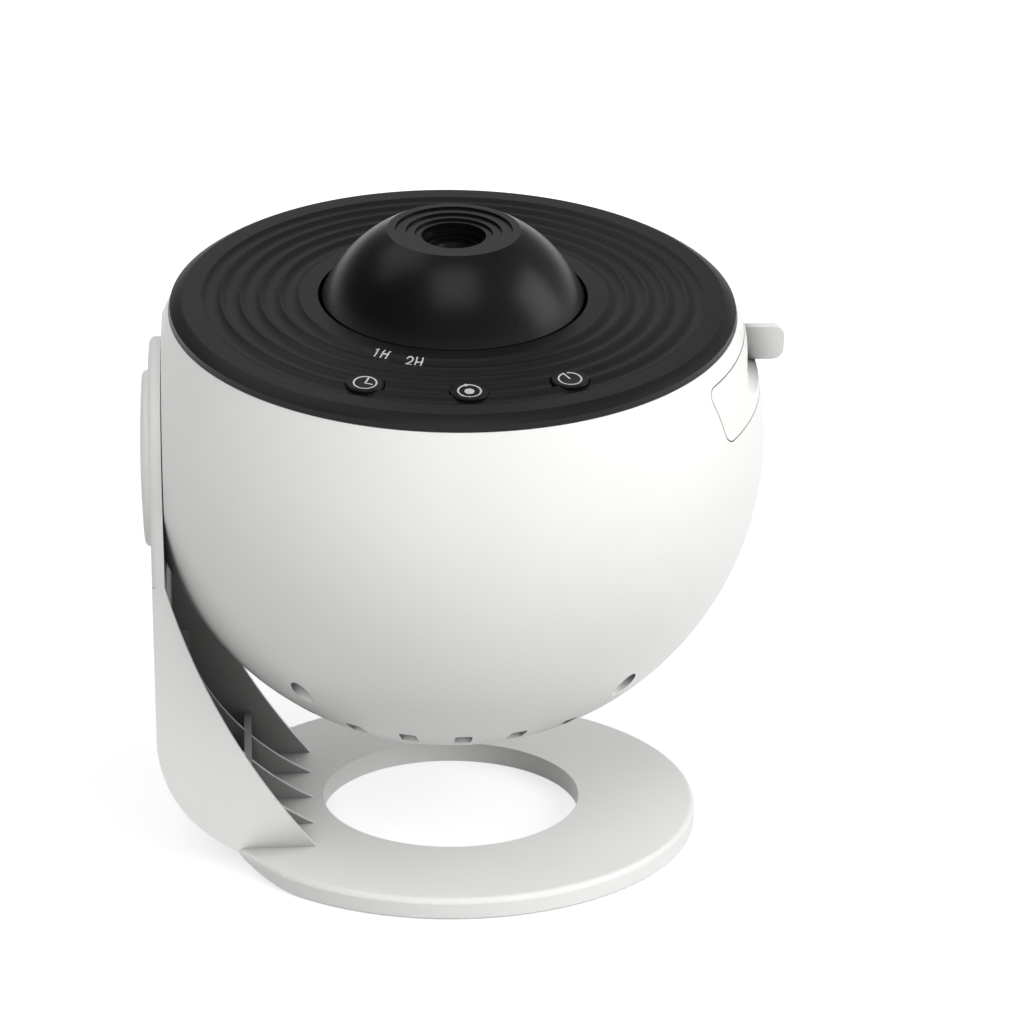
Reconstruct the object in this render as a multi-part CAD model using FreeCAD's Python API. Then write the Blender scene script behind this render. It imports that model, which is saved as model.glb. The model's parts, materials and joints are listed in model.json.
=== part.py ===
import FreeCAD, Part
import math
import os

# A table-top planetarium projector: a ball-shaped head that tilts on a one-armed stand.
# Millimetres. The origin is on the ground at the centre of the base ring, +Z is up,
# -Y is the front (buttons) and the arm stands at -X. The head is drawn upright about
# the centre of its ball, then tilted about the pivot and set on the stand.

# ---- stand ----
base_radius = 43.2
base_hole_radius = 22.7
base_thickness = 3.65
base_edge_round = 0.9
base_underside_round = 0.3
foot_proud = 0.1
foot_radius = 5.0
foot_depth = 1.2
foot_circle = 33.5
foot_angles = (50, 130, 230, 310)
under_gap = 13.95
arm_width = 41.6
arm_thickness = 2.1
arm_edge_round = 1.1
arm_gap = 0.25
sweep_radius = 22.7
sweep_slope = 36.5
sweep_start = 24.0
sweep_foot_radius = 26.0
gusset_wall = 0.9
gusset_top = 51.2
gusset_bulge = 2.9
gusset_foot_gap = 1.9
rib_wall = 0.8
rib_pitch = 11.0
rib_count = 3
rib_top = 31.4
rib_height = 3.0
rib_bend_height = 26.6
rib_bulge = 2.8
cross_rib_wall = 1.3
cross_rib_top = 12.1
cross_rib_inset = 10.6

# ---- pivot ----
pivot_drop = 3.7
rest_tilt = 9.85
hub_radius = 7.95
hub_clearance = 0.05
arm_recess_radius = 14.0
arm_recess_depth = 1.2
hub_washer_radius = 12.3
hub_washer_thickness = 0.7
washer_play = 0.05
friction_ring_outer = 18.0
friction_ring_thickness = 0.2
friction_ring_clearance = 0.4
cap_radius = 15.1
cap_thickness = 1.9
cap_crown = 0.5
cap_edge_round = 1.0
cap_pocket_depth = 0.6
cap_pocket_inset = 1.0
cap_spigot_wall = 1.0
cap_spigot_depth = 0.6
cap_spigot_clearance = 0.1
pivot_screw_radius = 1.5
pivot_screw_head = 3.2
pivot_screw_head_height = 0.7
pivot_screw_backing = 1.5
driver_slot_width = 0.8
driver_slot_depth = 0.35
hub_motor_gap = 1.75

# ---- ball shell ----
ball_radius = 53.3
shell_wall = 2.2
rim_height = 24.0
facet_depth = 4.55
facet_wall = 2.6
vent_count = 25
vent_circle = 36.0
vent_width = 2.9
vent_length = 4.2
vent_corner = 0.6
vent_first = -90.0
case_screw_circle = 44.2
case_screw_tray_gap = 8.3
well_radius = 1.9
well_wall = 1.5
well_seat = -2.0
case_screw_radius = 1.0
case_screw_head = 1.65
case_screw_head_height = 1.4

# ---- top cover ----
cover_seam = 0.15
cover_height = 2.15
cover_wall_height = 1.05
cover_chamfer = 2.05
cover_edge_inset = 0.12
cover_flat = 3.3
scallop_count = 5
scallop_pitch = 3.265
scallop_depth = 0.55
cover_hole_radius = 22.6
collar_wall = 1.8
collar_depth = 5.5
lip_clearance = 0.4
lip_wall = 1.4
lip_depth = 1.6
post_radius = 2.6
post_grip = 8.0
post_bore_extra = 0.4
post_sink = 0.5

# ---- buttons ----
button_radius = 3.05
button_inset = 8.1
button_spacing = 25.7
button_clearance = 0.15
button_proud = 0.1
button_dish = 0.16
button_edge_round = 0.3
button_flange = 0.85
button_flange_height = 0.8
button_travel = 0.5
button_rest_gap = 0.2
button_under_gap = 0.1
button_stem_radius = 1.5
button_stem_length = 0.7
switch_side = 4.5
switch_height = 1.6
plunger_radius = 1.2
plunger_height = 0.5
board_thickness = 1.6
button_board_inner = 32.0
button_board_half_angle = 33.0
button_post_radius = 1.6
button_screw_bite = 2.0
button_board_margin = 3.3

# ---- focus dome and lens barrel ----
dome_ball_radius = 24.0
dome_radius = 22.0
dome_height = 11.55
dome_top_radius = 11.1
dome_wall = 1.8
terrace_radii = (9.8, 8.0, 6.5)
terrace_drop = 0.36
bore_radii = (5.4, 4.95)
bore_step = 1.3
bore_lip = 0.4
dome_flange = 1.3
dome_flange_height = 1.2
dome_end_play = 0.2
spline_tube_wall = 1.6
spline_width = 1.6
spline_height = 0.6
spline_clearance = 0.1
spline_length = 3.0
spline_inset = 0.5
spline_tube_clearance = 0.1
spline_tube_gap = 1.5
focus_travel = 0.75
barrel_radius = 7.5
barrel_wall = 1.3
barrel_clearance = 0.05
nose_radius = 4.6
nose_aperture = 2.6
nose_bevel = 0.6
nose_bevel_depth = 1.0
nose_step_radius = 3.9
nose_step = 0.5
nose_depth = 3.2
nose_length = 3.5
barrel_seat = 1.0
lens_thickness = 2.2
lens_bulge = 0.9
lens_edge_clearance = 0.02
lens_spacing = 5.0
spacer_wall = 0.8
ring_nut_height = 1.2
ring_nut_wall = 1.2
ring_nut_slot = 1.0
ring_nut_slot_depth = 0.6
mount_plate = 1.6
mount_tube_wall = 1.9
mount_tube_height = 7.3
mount_post_circle = 26.6
mount_post_radius = 1.9
mount_post_angles = (90, 210, 330)
mount_screw_radius = 0.9
mount_screw_length = 4.5
mount_screw_sink = 0.8
mount_screw_bore = 5.0

# ---- film drawer ----
drawer_centre = 16.45
drawer_side = 2.65
drawer_height = 9.9
drawer_corner = 2.0
drawer_seam = 0.2
tray_wall = 1.7
tray_floor = 1.2
tray_bottom = 12.5
tray_wall_top = 16.2
tray_shaft_gap = 0.7
tray_skin_gap = 1.0
tray_pocket_clearance = 0.5
tray_notch = 16.0
tab_length = 5.7
tab_height = 6.0
tab_thickness = 1.6
tab_corner = 1.8
tab_drop = 0.25
scoop_length = 33.6
scoop_radius = 4.2
scoop_rise = 0.65
scoop_backing = 2.2
scoop_backing_rise = 2.5
scoop_overrun = 2.0
front_thickening = 0.6

# ---- film disc and its drive ----
gear_module = 1.0
disc_teeth = 48
pinion_teeth = 10
gear_addendum = 0.8
gear_dedendum = 1.1
gear_backlash = 0.24
gear_pressure_angle = 20.0
disc_thickness = 2.0
pilot_radius = 21.9
pilot_clearance = 0.1
disc_lift = 0.1
film_radius = 20.0
film_thickness = 0.5
film_ledge = 1.5
film_ledge_height = 0.3
film_clearance = 0.05
pinion_thickness = 1.4
motor_radius = 7.5
motor_height = 12.0
motor_ear_reach = 4.4
motor_ear_thickness = 1.0
motor_ear_width = 3.6
motor_edge_round = 0.8
motor_shaft_depth = 3.0
small_screw_radius = 0.8
small_screw_head_height = 0.8
small_screw_bite = 1.6
screw_clearance = 0.1
thread_clearance = 0.05
shaft_radius = 1.0
shaft_clearance = 0.05
shaft_press = 0.01
shaft_end_gap = 0.1

# ---- inner frame ----
deck_top = 10.0
deck_thickness = 2.0
deck_clearance = 0.6
rail_wall = 1.5
rail_clearance = 0.2
rail_ledge = 2.6
rail_length = 66.0
rail_start = -29.0
rail_rise = 0.3
deck_shaft_clearance = 1.0

# ---- light engine and boards ----
condenser_radius = 11.0
condenser_edge = 2.0
condenser_bulge = 3.4
condenser_base = 3.5
holder_wall = 2.0
holder_flange = 4.0
holder_flange_height = 2.0
holder_bottom = -7.0
holder_lip = 1.2
holder_bore_clearance = 0.05
holder_deck_clearance = 0.1
holder_screw_angles = (60, 240, 300)
holder_screw_hole = 4.0
led_board_radius = 12.0
led_side = 3.5
led_height = 0.9
led_dome_radius = 1.5
led_dome_sink = 0.3
notch_radius = 1.5
notch_count = 6
sink_radius = 13.0
sink_plate = 3.0
fin_count = 6
fin_wall = 1.2
fin_height = 14.0
fin_margin = 1.5
sink_screw_bite = 3.6
main_board_radius = 27.0
main_board_top = -31.0
board_post_radius = 2.2
board_post_offset = 16.0
board_screw_head_height = 1.2
board_tongue_margin = 2.0
board_tongue_gap = 0.8
inlet_width = 9.0
inlet_height = 3.3
inlet_length = 7.5
inlet_wall = 0.4
inlet_margin = 0.35
inlet_setback = 0.4
inlet_floor = 1.5
inlet_tongue_width = 6.4
inlet_tongue_thickness = 0.7
inlet_tongue_recess = 1.2
header_places = (-20.0, 20.0)
header_width = 5.8
header_length = 10.0
header_height = 3.4
header_wall = 0.8

# ---- worked out from the sizes above ----
base_top = foot_proud + base_thickness
facet_x = -(ball_radius - facet_depth)
arm_inner_x = facet_x - arm_gap
arm_outer_x = arm_inner_x - arm_thickness
ball_height = base_top + under_gap + ball_radius
pivot_height = ball_height - pivot_drop * math.cos(math.radians(rest_tilt))
inner_radius = ball_radius - shell_wall
rim_radius = math.sqrt(ball_radius**2 - rim_height**2) - cover_seam
cover_top = rim_height + cover_height
cover_edge_radius = rim_radius - cover_chamfer
first_cusp = cover_edge_radius - cover_flat
button_circle = cover_edge_radius - button_inset
button_angles = {
    "timer_button": -90 - button_spacing,
    "mode_button": -90,
    "power_button": -90 + button_spacing,
}
flange_top = rim_height - button_under_gap
stem_end = flange_top - button_flange_height - button_stem_length
switch_top = stem_end - button_travel - button_rest_gap - plunger_height
button_board_top = switch_top - switch_height
button_board_outer = button_circle + button_board_margin
dome_top = cover_top + dome_height
dome_centre = dome_top - math.sqrt(dome_ball_radius**2 - dome_top_radius**2)
collar_bottom = cover_top - collar_depth
dome_flange_top = collar_bottom - dome_end_play
dome_bottom = dome_flange_top - dome_flange_height
mount_top = dome_bottom - dome_end_play
mount_bottom = mount_top - mount_plate
disc_pitch_radius = disc_teeth * gear_module / 2
pinion_pitch_radius = pinion_teeth * gear_module / 2
disc_tip_radius = disc_pitch_radius + gear_addendum * gear_module
drive_x = -(disc_pitch_radius + pinion_pitch_radius)
tray_floor_top = tray_bottom + tray_floor
disc_bottom = tray_floor_top + disc_lift
disc_top = disc_bottom + disc_thickness
pocket_radius = disc_tip_radius + tray_pocket_clearance
tray_width = 2 * (pocket_radius + tray_wall)
tray_tail_x = drive_x + shaft_radius + tray_shaft_gap
drawer_width = tray_width + 2 * drawer_side
case_screw_y = tray_width / 2 + case_screw_tray_gap
case_screw_x = math.sqrt(case_screw_circle**2 - case_screw_y**2)
hub_end_x = drive_x - motor_radius - hub_motor_gap
pivot_screw_end_x = hub_end_x - pivot_screw_backing
deck_bottom = deck_top - deck_thickness
led_board_top = holder_bottom
sink_top = led_board_top - board_thickness
spline_tube_bore = barrel_radius + spline_tube_clearance
gusset_foot_x = -(base_hole_radius + gusset_foot_gap)
hub_washer_x = arm_inner_x - (arm_thickness - arm_recess_depth) - washer_play

EPS = 0.01


def vec(x, y, z):
    return FreeCAD.Vector(x, y, z)


def rod(radius, bottom, top, x=0.0, y=0.0):
    """A cylinder along Z."""
    return Part.makeCylinder(radius, top - bottom, vec(x, y, bottom))


def rod_x(radius, x_from, x_to, y=0.0, z=0.0):
    """A cylinder along X."""
    return Part.makeCylinder(radius, x_to - x_from, vec(x_from, y, z), vec(1, 0, 0))


def tube(outer, inner, bottom, top, x=0.0, y=0.0):
    """A round tube along Z."""
    return rod(outer, bottom, top, x, y).cut(rod(inner, bottom - 1, top + 1, x, y))


def block(x_from, x_to, y_from, y_to, z_from, z_to):
    """A box between two corners."""
    return Part.makeBox(x_to - x_from, y_to - y_from, z_to - z_from, vec(x_from, y_from, z_from))


def polar(radius, degrees):
    """The x and y of a point on a circle about the Z axis."""
    angle = math.radians(degrees)
    return radius * math.cos(angle), radius * math.sin(angle)


def outline(start, *moves):
    """A closed face in the XZ plane. A move is a point, or a pair of points on an arc."""
    edges = []
    here = vec(start[0], 0, start[1])
    first = here
    for move in moves:
        if isinstance(move[0], tuple):
            middle = vec(move[0][0], 0, move[0][1])
            there = vec(move[1][0], 0, move[1][1])
            edges.append(Part.Arc(here, middle, there).toShape())
        else:
            there = vec(move[0], 0, move[1])
            edges.append(Part.LineSegment(here, there).toShape())
        here = there
    if here.distanceToPoint(first) > EPS:
        edges.append(Part.LineSegment(here, first).toShape())
    return Part.Face(Part.Wire(edges))


def turned(start, *moves):
    """A solid of revolution about Z from a half section of radius and height points."""
    return outline(start, *moves).revolve(vec(0, 0, 0), vec(0, 0, 1), 360)


def plate(face, y_from, y_to):
    """An XZ outline given a thickness along Y."""
    solid = face.extrude(vec(0, y_to - y_from, 0))
    solid.translate(vec(0, y_from, 0))
    return solid


def bar_yz(width, height, corner, x_from, x_to, z_centre):
    """A bar along X whose section is a rectangle with round corners, centred on Y = 0."""
    bar = block(x_from, x_to, -width / 2, width / 2, z_centre - height / 2, z_centre + height / 2)
    along_x = [e for e in bar.Edges if abs(e.tangentAt(e.FirstParameter).x) > 0.9]
    return bar.makeFillet(corner, along_x)


def fuse_all(shapes):
    """One solid from several that touch or overlap."""
    whole = shapes[0]
    if len(shapes) > 1:
        whole = whole.multiFuse(shapes[1:])
    return whole.removeSplitter()


def at_heights(shape, low, high):
    """The edges of a shape whose ends and middle all lie between two heights."""
    return [e for e in shape.Edges if e.BoundBox.ZMin > low and e.BoundBox.ZMax < high]


def screw_up(radius, head_radius, head_height, seat, length, x, y):
    """A pan-head screw whose head sits under a seat and whose shank goes up."""
    return rod(head_radius, seat - head_height, seat, x, y).fuse(rod(radius, seat, seat + length, x, y))


def small_screw(seat, length, x, y):
    """One of the small pan-head screws."""
    return screw_up(small_screw_radius, 2 * small_screw_radius, small_screw_head_height, seat,
                    length, x, y)


def cap_arc(radius, edge_z, rise):
    """Middle and end points of an exact spherical cap, from its edge in to the axis."""
    ball = (radius**2 + rise**2) / (2 * abs(rise))
    half = math.asin(radius / ball) / 2
    middle_z = edge_z + math.copysign(ball * (math.cos(half) - math.cos(2 * half)), rise)
    return (ball * math.sin(half), middle_z), (0, edge_z + rise)


def involute(angle):
    return math.tan(angle) - angle


def gear(teeth, thickness, bottom, turn=0.0):
    """A spur gear along Z whose flanks follow the involute, thinned by the backlash."""
    pitch = teeth * gear_module / 2
    root = pitch - gear_dedendum * gear_module
    tip = pitch + gear_addendum * gear_module
    pressure = math.radians(gear_pressure_angle)
    base = max(pitch * math.cos(pressure), root + EPS)
    half = (math.pi * gear_module / 4 - gear_backlash / 4) / pitch + involute(pressure)
    flank = []
    for radius in (root, base, (base + tip) / 2, tip):
        roll = math.acos(min(1.0, pitch * math.cos(pressure) / radius))
        flank.append((radius, half - involute(roll)))
    points = []
    for tooth in range(teeth):
        middle = math.radians(turn) + 2 * math.pi * tooth / teeth
        sides = [(radius, middle - width) for radius, width in flank]
        sides += [(radius, middle + width) for radius, width in reversed(flank)]
        points += [vec(radius * math.cos(angle), radius * math.sin(angle), bottom)
                   for radius, angle in sides]
    face = Part.Face(Part.makePolygon(points + [points[0]]))
    return face.extrude(vec(0, 0, thickness))


# ---- stand ----


def sweep_points(offset):
    """Top, arc and slope points of the arm's section, offset inwards from its outer skin."""
    centre_x = arm_outer_x + sweep_radius
    radius = sweep_radius - offset
    turn = math.radians(90 - sweep_slope)
    start = (centre_x - radius, sweep_start)
    middle = (centre_x - radius * math.cos(turn / 2), sweep_start - radius * math.sin(turn / 2))
    end = (centre_x - radius * math.cos(turn), sweep_start - radius * math.sin(turn))
    return start, middle, end


def slope_at(end, height):
    """The X at which the arm's sloping part comes down to a height."""
    return end[0] + (end[1] - height) / math.tan(math.radians(sweep_slope))


def foot_curve():
    """Where the arm's slope starts to level out, a point halfway, and where it is level."""
    end = sweep_points(0)[2]
    slope = math.radians(sweep_slope)
    corner_x = slope_at(end, foot_proud)
    tangent = sweep_foot_radius * math.tan(slope / 2)
    start = (corner_x - tangent * math.cos(slope), foot_proud + tangent * math.sin(slope))
    middle = (corner_x + tangent - sweep_foot_radius * math.sin(slope / 2),
              foot_proud + sweep_foot_radius * (1 - math.cos(slope / 2)))
    return start, middle, (corner_x + tangent, foot_proud)


def sagging(start, end, bulge):
    """The point halfway along an arc that hangs below the straight line between two points."""
    run, rise = end[0] - start[0], start[1] - end[1]
    chord = math.hypot(run, rise)
    return (start[0] + run / 2 - bulge * rise / chord, end[1] + rise / 2 - bulge * run / chord)


def arm_side():
    """Everything on the inner side of the arm's outer skin, as a wide prism."""
    start, middle, end = sweep_points(0)
    foot_start, foot_middle, foot_end = foot_curve()
    far, high = 2 * base_radius, 2 * pivot_height
    face = outline((start[0], high), start, (middle, end), foot_start, (foot_middle, foot_end),
                   (far, foot_proud), (far, high))
    return plate(face, -far, far)


def arm_skin():
    """The curved skin: upright at the pivot, swept forward into the base ring."""
    start, middle, end = sweep_points(0)
    in_start, in_middle, in_end = sweep_points(arm_thickness)
    foot_start, foot_middle, foot_end = foot_curve()
    top = pivot_height + arm_width / 2
    face = outline((start[0], top), start, (middle, end), foot_start, (foot_middle, foot_end),
                   (foot_end[0], base_top), (slope_at(in_end, base_top), base_top), in_end,
                   (in_middle, in_start), (in_start[0], top))
    skin = plate(face, -arm_width / 2, arm_width / 2)
    shape = rod_x(arm_width / 2, 2 * arm_outer_x, 0, 0, pivot_height).fuse(
        block(2 * arm_outer_x, 0, -arm_width / 2, arm_width / 2, 0, pivot_height))
    skin = skin.common(shape)
    rounded = []
    for edge in skin.Edges:
        box = edge.BoundBox
        on_face = box.XMax < arm_outer_x + EPS and box.ZMin > sweep_start - EPS
        middle_point = edge.valueAt((edge.FirstParameter + edge.LastParameter) / 2)
        on_sweep = abs(middle_point.x - middle[0]) < 0.2 and abs(middle_point.z - middle[1]) < 0.2
        if (on_face and box.ZLength + box.YLength > 1 and box.YLength + box.ZLength > 2
                and not (box.ZLength < EPS)) or on_sweep:
            rounded.append(edge)
    return skin.makeFillet(arm_edge_round, rounded)


def gusset(y_from, y_to):
    """An outer wall of the arm's channel, with a hollow curved edge down to the ring."""
    top, foot = (arm_inner_x, gusset_top), (gusset_foot_x, base_top)
    face = outline(top, (sagging(top, foot, gusset_bulge), foot), (gusset_foot_x, foot_proud),
                   (2 * arm_outer_x, foot_proud), (2 * arm_outer_x, gusset_top))
    return plate(face, y_from, y_to).common(arm_side())


def rib(y_centre):
    """An inner rib: square at its top end, upright, then curved down to the ring."""
    crest_x = arm_inner_x + rib_height
    bend, foot = (crest_x, rib_bend_height), (gusset_foot_x, base_top)
    face = outline((crest_x, rib_top), bend, (sagging(bend, foot, rib_bulge), foot),
                   (gusset_foot_x, foot_proud), (2 * arm_outer_x, foot_proud),
                   (2 * arm_outer_x, rib_top))
    return plate(face, y_centre - rib_wall / 2, y_centre + rib_wall / 2).common(arm_side())


def foot_places():
    return [polar(foot_circle, angle) for angle in foot_angles]


def stand_frame():
    """Base ring, swept arm and channel ribs: one moulding."""
    ring = rod(base_radius, foot_proud, base_top)
    ring = ring.makeFillet(base_edge_round, at_heights(ring, base_top - EPS, base_top + EPS))
    ring = ring.makeFillet(base_underside_round, at_heights(ring, foot_proud - EPS, foot_proud + EPS))
    ring = ring.cut(rod(base_hole_radius, 0, base_top + 1)).common(arm_side())
    half = arm_width / 2
    pieces = [ring, arm_skin(), gusset(-half, -half + gusset_wall), gusset(half - gusset_wall, half)]
    for index in range(rib_count):
        pieces.append(rib((index - (rib_count - 1) / 2) * rib_pitch))
    cross_x = gusset_foot_x - cross_rib_inset
    cross = block(cross_x - cross_rib_wall, cross_x, -half + EPS, half - EPS, foot_proud, cross_rib_top)
    pieces.append(cross.common(arm_side()))
    frame = fuse_all(pieces)
    frame = frame.cut(rod_x(hub_radius + hub_clearance, 2 * arm_outer_x, 0, 0, pivot_height))
    frame = frame.cut(rod_x(arm_recess_radius, 2 * arm_outer_x, arm_outer_x + arm_recess_depth, 0,
                            pivot_height))
    for x, y in foot_places():
        frame = frame.cut(rod(foot_radius, -1, foot_depth, x, y))
    return frame


def foot_pads():
    """Four soft round pads, glued in recesses under the ring."""
    return Part.makeCompound([rod(foot_radius, 0, foot_depth, x, y) for x, y in foot_places()])


def pivot_cap():
    """Crowned round cover over the pivot, with a locating ring in the arm's recess."""
    face_x = arm_outer_x - cap_thickness
    edge_r = cap_radius - cap_edge_round
    side = cap_edge_round * (1 - math.sqrt(0.5))
    pocket = hub_washer_radius - cap_pocket_inset
    spigot = arm_recess_radius - cap_spigot_clearance
    # Drawn along +Z with z as the distance out of the arm's face, then turned to -X.
    cap = turned((0, cap_pocket_depth), (0, cap_thickness),
                 (cap_arc(edge_r, cap_thickness - cap_crown, cap_crown)[0],
                  (edge_r, cap_thickness - cap_crown)),
                 ((cap_radius - side, cap_thickness - cap_crown - side),
                  (cap_radius, cap_thickness - cap_crown - cap_edge_round)),
                 (cap_radius, 0), (spigot, 0), (spigot, -cap_spigot_depth),
                 (spigot - cap_spigot_wall, -cap_spigot_depth), (spigot - cap_spigot_wall, 0),
                 (pocket, 0), (pocket, cap_pocket_depth))
    cap.rotate(vec(0, 0, 0), vec(0, 1, 0), -90)
    cap.translate(vec(face_x + cap_thickness, 0, pivot_height))
    return cap


def friction_ring():
    """Thin slip ring between the arm and the head, fixed to the arm."""
    near = arm_inner_x + friction_ring_thickness
    ring = rod_x(friction_ring_outer, arm_inner_x, near, 0, pivot_height)
    return ring.cut(rod_x(hub_radius + friction_ring_clearance, arm_inner_x - 1, near + 1, 0,
                          pivot_height))


# ---- head, drawn upright about the centre of the ball ----


def wall_height(radius, sphere):
    """How far below the ball's centre a sphere is at a radius from the axis."""
    return math.sqrt(sphere**2 - radius**2)


def case_screw_places():
    return [(sx * case_screw_x, sy * case_screw_y) for sx in (-1, 1) for sy in (-1, 1)]


def board_post_places():
    return [(sx * board_post_offset, sy * board_post_offset) for sx in (-1, 1) for sy in (-1, 1)]


def drawer_bar(shrink, x_from, x_to):
    return bar_yz(drawer_width - 2 * shrink, drawer_height - 2 * shrink, drawer_corner - shrink,
                  x_from, x_to, drawer_centre)


def vent_slot(angle):
    """One radial slot through the bottom of the shell."""
    inner, outer = vent_circle - vent_length / 2, vent_circle + vent_length / 2
    deep = ball_radius
    half, corner = vent_width / 2, vent_corner
    slot = block(inner, outer, -half + corner, half - corner, -deep, 0)
    slot = slot.fuse(block(inner + corner, outer - corner, -half, half, -deep, 0))
    for x in (inner + corner, outer - corner):
        for y in (-half + corner, half - corner):
            slot = slot.fuse(rod(corner, -deep, 0, x, y))
    slot.rotate(vec(0, 0, 0), vec(0, 0, 1), angle)
    return slot


def bowl_shell():
    """White ball with a flat side at the arm, a drawer mouth, vents and screw wells."""
    outer = Part.makeSphere(ball_radius)
    outer = outer.cut(block(-100, 100, -100, 100, rim_height, 200))
    outer = outer.cut(block(-200, facet_x, -100, 100, -100, 100))
    hollow = Part.makeSphere(inner_radius)
    inside = hollow.cut(block(-200, facet_x + facet_wall, -100, 100, -100, 100))
    shell = outer.cut(inside)
    posts = []
    for x, y in case_screw_places():
        posts.append(rod(well_radius + well_wall, -ball_radius, deck_bottom, x, y))
    for x, y in board_post_places():
        posts.append(rod(board_post_radius, -ball_radius, main_board_top - board_thickness, x, y))
    boss_x = facet_x + facet_wall - EPS
    posts.append(rod_x(hub_radius, boss_x, hub_end_x, 0, -pivot_drop))
    trimmed = [post.common(Part.makeSphere(inner_radius + shell_wall / 2)) for post in posts]
    hub = rod_x(hub_radius, hub_washer_x, facet_x + 1, 0, -pivot_drop)
    shell = fuse_all([shell] + trimmed + [hub])
    shell = shell.cut(drawer_bar(0, 0, 2 * ball_radius))
    for x, y in case_screw_places():
        shell = shell.cut(rod(well_radius, -2 * ball_radius, well_seat, x, y))
        shell = shell.cut(rod(case_screw_radius + screw_clearance, well_seat - 1, deck_bottom + 1, x, y))
    step = 360 / vent_count
    shell = shell.cut(Part.makeCompound([vent_slot(vent_first + index * step)
                                        for index in range(vent_count)]))
    shell = shell.cut(rod_x(pivot_screw_radius + thread_clearance, -2 * ball_radius,
                            pivot_screw_end_x, 0, -pivot_drop))
    return shell.cut(inlet_mouth())


def inlet_mouth():
    """The hole in the back of the shell in front of the power inlet."""
    width, height = inlet_width + 2 * inlet_margin, inlet_height + 2 * inlet_margin
    mouth = bar_yz(width, height, height / 2 - EPS, 0, 2 * ball_radius,
                   main_board_top + inlet_height / 2)
    mouth.rotate(vec(0, 0, 0), vec(0, 0, 1), 90)
    return mouth.common(block(-20, 20, inlet_back() + inlet_length - 1, 100, -60, 0))


def inlet_back():
    """Y of the back end of the inlet's body, set so that its mouth is inside the wall."""
    return wall_height(-main_board_top, inner_radius) - inlet_setback - inlet_length


def pivot_washer():
    """Steel washer screwed to the hub, which holds the head on the arm."""
    far = hub_washer_x - hub_washer_thickness
    washer = rod_x(hub_washer_radius, far, hub_washer_x, 0, -pivot_drop)
    return washer.cut(rod_x(pivot_screw_radius + thread_clearance, far - 1, hub_washer_x + 1, 0,
                            -pivot_drop))


def pivot_screw():
    """Flat-head screw through the washer into the hub."""
    seat = hub_washer_x - hub_washer_thickness
    shank = rod_x(pivot_screw_radius, seat, pivot_screw_end_x - screw_clearance, 0, -pivot_drop)
    head = rod_x(pivot_screw_head, seat - pivot_screw_head_height, seat, 0, -pivot_drop)
    face = seat - pivot_screw_head_height
    slot = block(face - EPS, face + driver_slot_depth, -pivot_screw_head, pivot_screw_head,
                 -pivot_drop - driver_slot_width / 2, -pivot_drop + driver_slot_width / 2)
    return head.fuse(shank).cut(slot)


def case_screws():
    """Four long screws up through the wells and the deck into the cover's posts."""
    screws = []
    for x, y in case_screw_places():
        screws.append(screw_up(case_screw_radius, case_screw_head, case_screw_head_height,
                               well_seat, deck_top + post_grip - well_seat, x, y))
    return Part.makeCompound(screws)


def top_cover():
    """Black cover: chamfered rim, flat band, scalloped rings and a collar for the dome."""
    lip_outer = math.sqrt(inner_radius**2 - rim_height**2) - lip_clearance
    lip_bottom = rim_height - lip_depth
    moves = [(cover_hole_radius, cover_top)]
    cusps = [first_cusp - index * scallop_pitch for index in range(scallop_count + 1)]
    moves.append((cusps[-1], cover_top))
    for outer, inner in zip(reversed(cusps[:-1]), reversed(cusps[1:])):
        middle = ((outer + inner) / 2, cover_top - scallop_depth)
        moves.append((middle, (outer, cover_top)))
    round_over = (rim_radius - cover_edge_inset, rim_height + cover_wall_height)
    moves += [(cover_edge_radius, cover_top),
              ((rim_radius - 0.62 * cover_chamfer, cover_top - 0.16 * cover_height), round_over),
              (rim_radius, rim_height), (lip_outer, rim_height), (lip_outer, lip_bottom),
              (lip_outer - lip_wall, lip_bottom), (lip_outer - lip_wall, rim_height),
              (cover_hole_radius + collar_wall, rim_height),
              (cover_hole_radius + collar_wall, collar_bottom)]
    cover = turned((cover_hole_radius, collar_bottom), *moves)
    posts = []
    inside = Part.makeSphere(inner_radius - lip_clearance)
    for x, y in case_screw_places():
        posts.append(rod(post_radius, deck_top, rim_height + EPS, x, y).common(inside))
    for angle in mount_post_angles:
        x, y = polar(mount_post_circle, angle)
        posts.append(rod(mount_post_radius, mount_top, rim_height + post_sink, x, y))
    for x, y in button_post_places():
        posts.append(rod(button_post_radius, button_board_top, rim_height + post_sink, x, y))
    cover = fuse_all([cover] + posts)
    for x, y in case_screw_places():
        cover = cover.cut(rod(case_screw_radius + thread_clearance, deck_top - 1,
                              deck_top + post_grip + post_bore_extra, x, y))
    for x, y in button_post_places():
        cover = cover.cut(rod(small_screw_radius + thread_clearance, button_board_top - 1,
                              button_board_top + button_screw_bite + screw_clearance, x, y))
    for angle in mount_post_angles:
        x, y = polar(mount_post_circle, angle)
        cover = cover.cut(rod(mount_screw_radius + thread_clearance, mount_top - 1,
                              mount_top + mount_screw_bore, x, y))
    for angle in button_angles.values():
        x, y = polar(button_circle, angle)
        cover = cover.cut(rod(button_radius + button_clearance, rim_height - 1, cover_top + 1, x, y))
    return cover


def button(name):
    """A round cap with a dished face, a flange under the cover and a stem."""
    face_z = cover_top + button_proud
    edge_cut = button_edge_round * (1 - math.sqrt(0.5))
    body = turned((0, stem_end), (button_stem_radius, stem_end),
                  (button_stem_radius, flange_top - button_flange_height),
                  (button_radius + button_flange, flange_top - button_flange_height),
                  (button_radius + button_flange, flange_top), (button_radius, flange_top),
                  (button_radius, face_z - button_edge_round),
                  ((button_radius - edge_cut, face_z - edge_cut),
                   (button_radius - button_edge_round, face_z)),
                  cap_arc(button_radius - button_edge_round, face_z, -button_dish))
    x, y = polar(button_circle, button_angles[name])
    body.translate(vec(x, y, 0))
    return body


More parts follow.
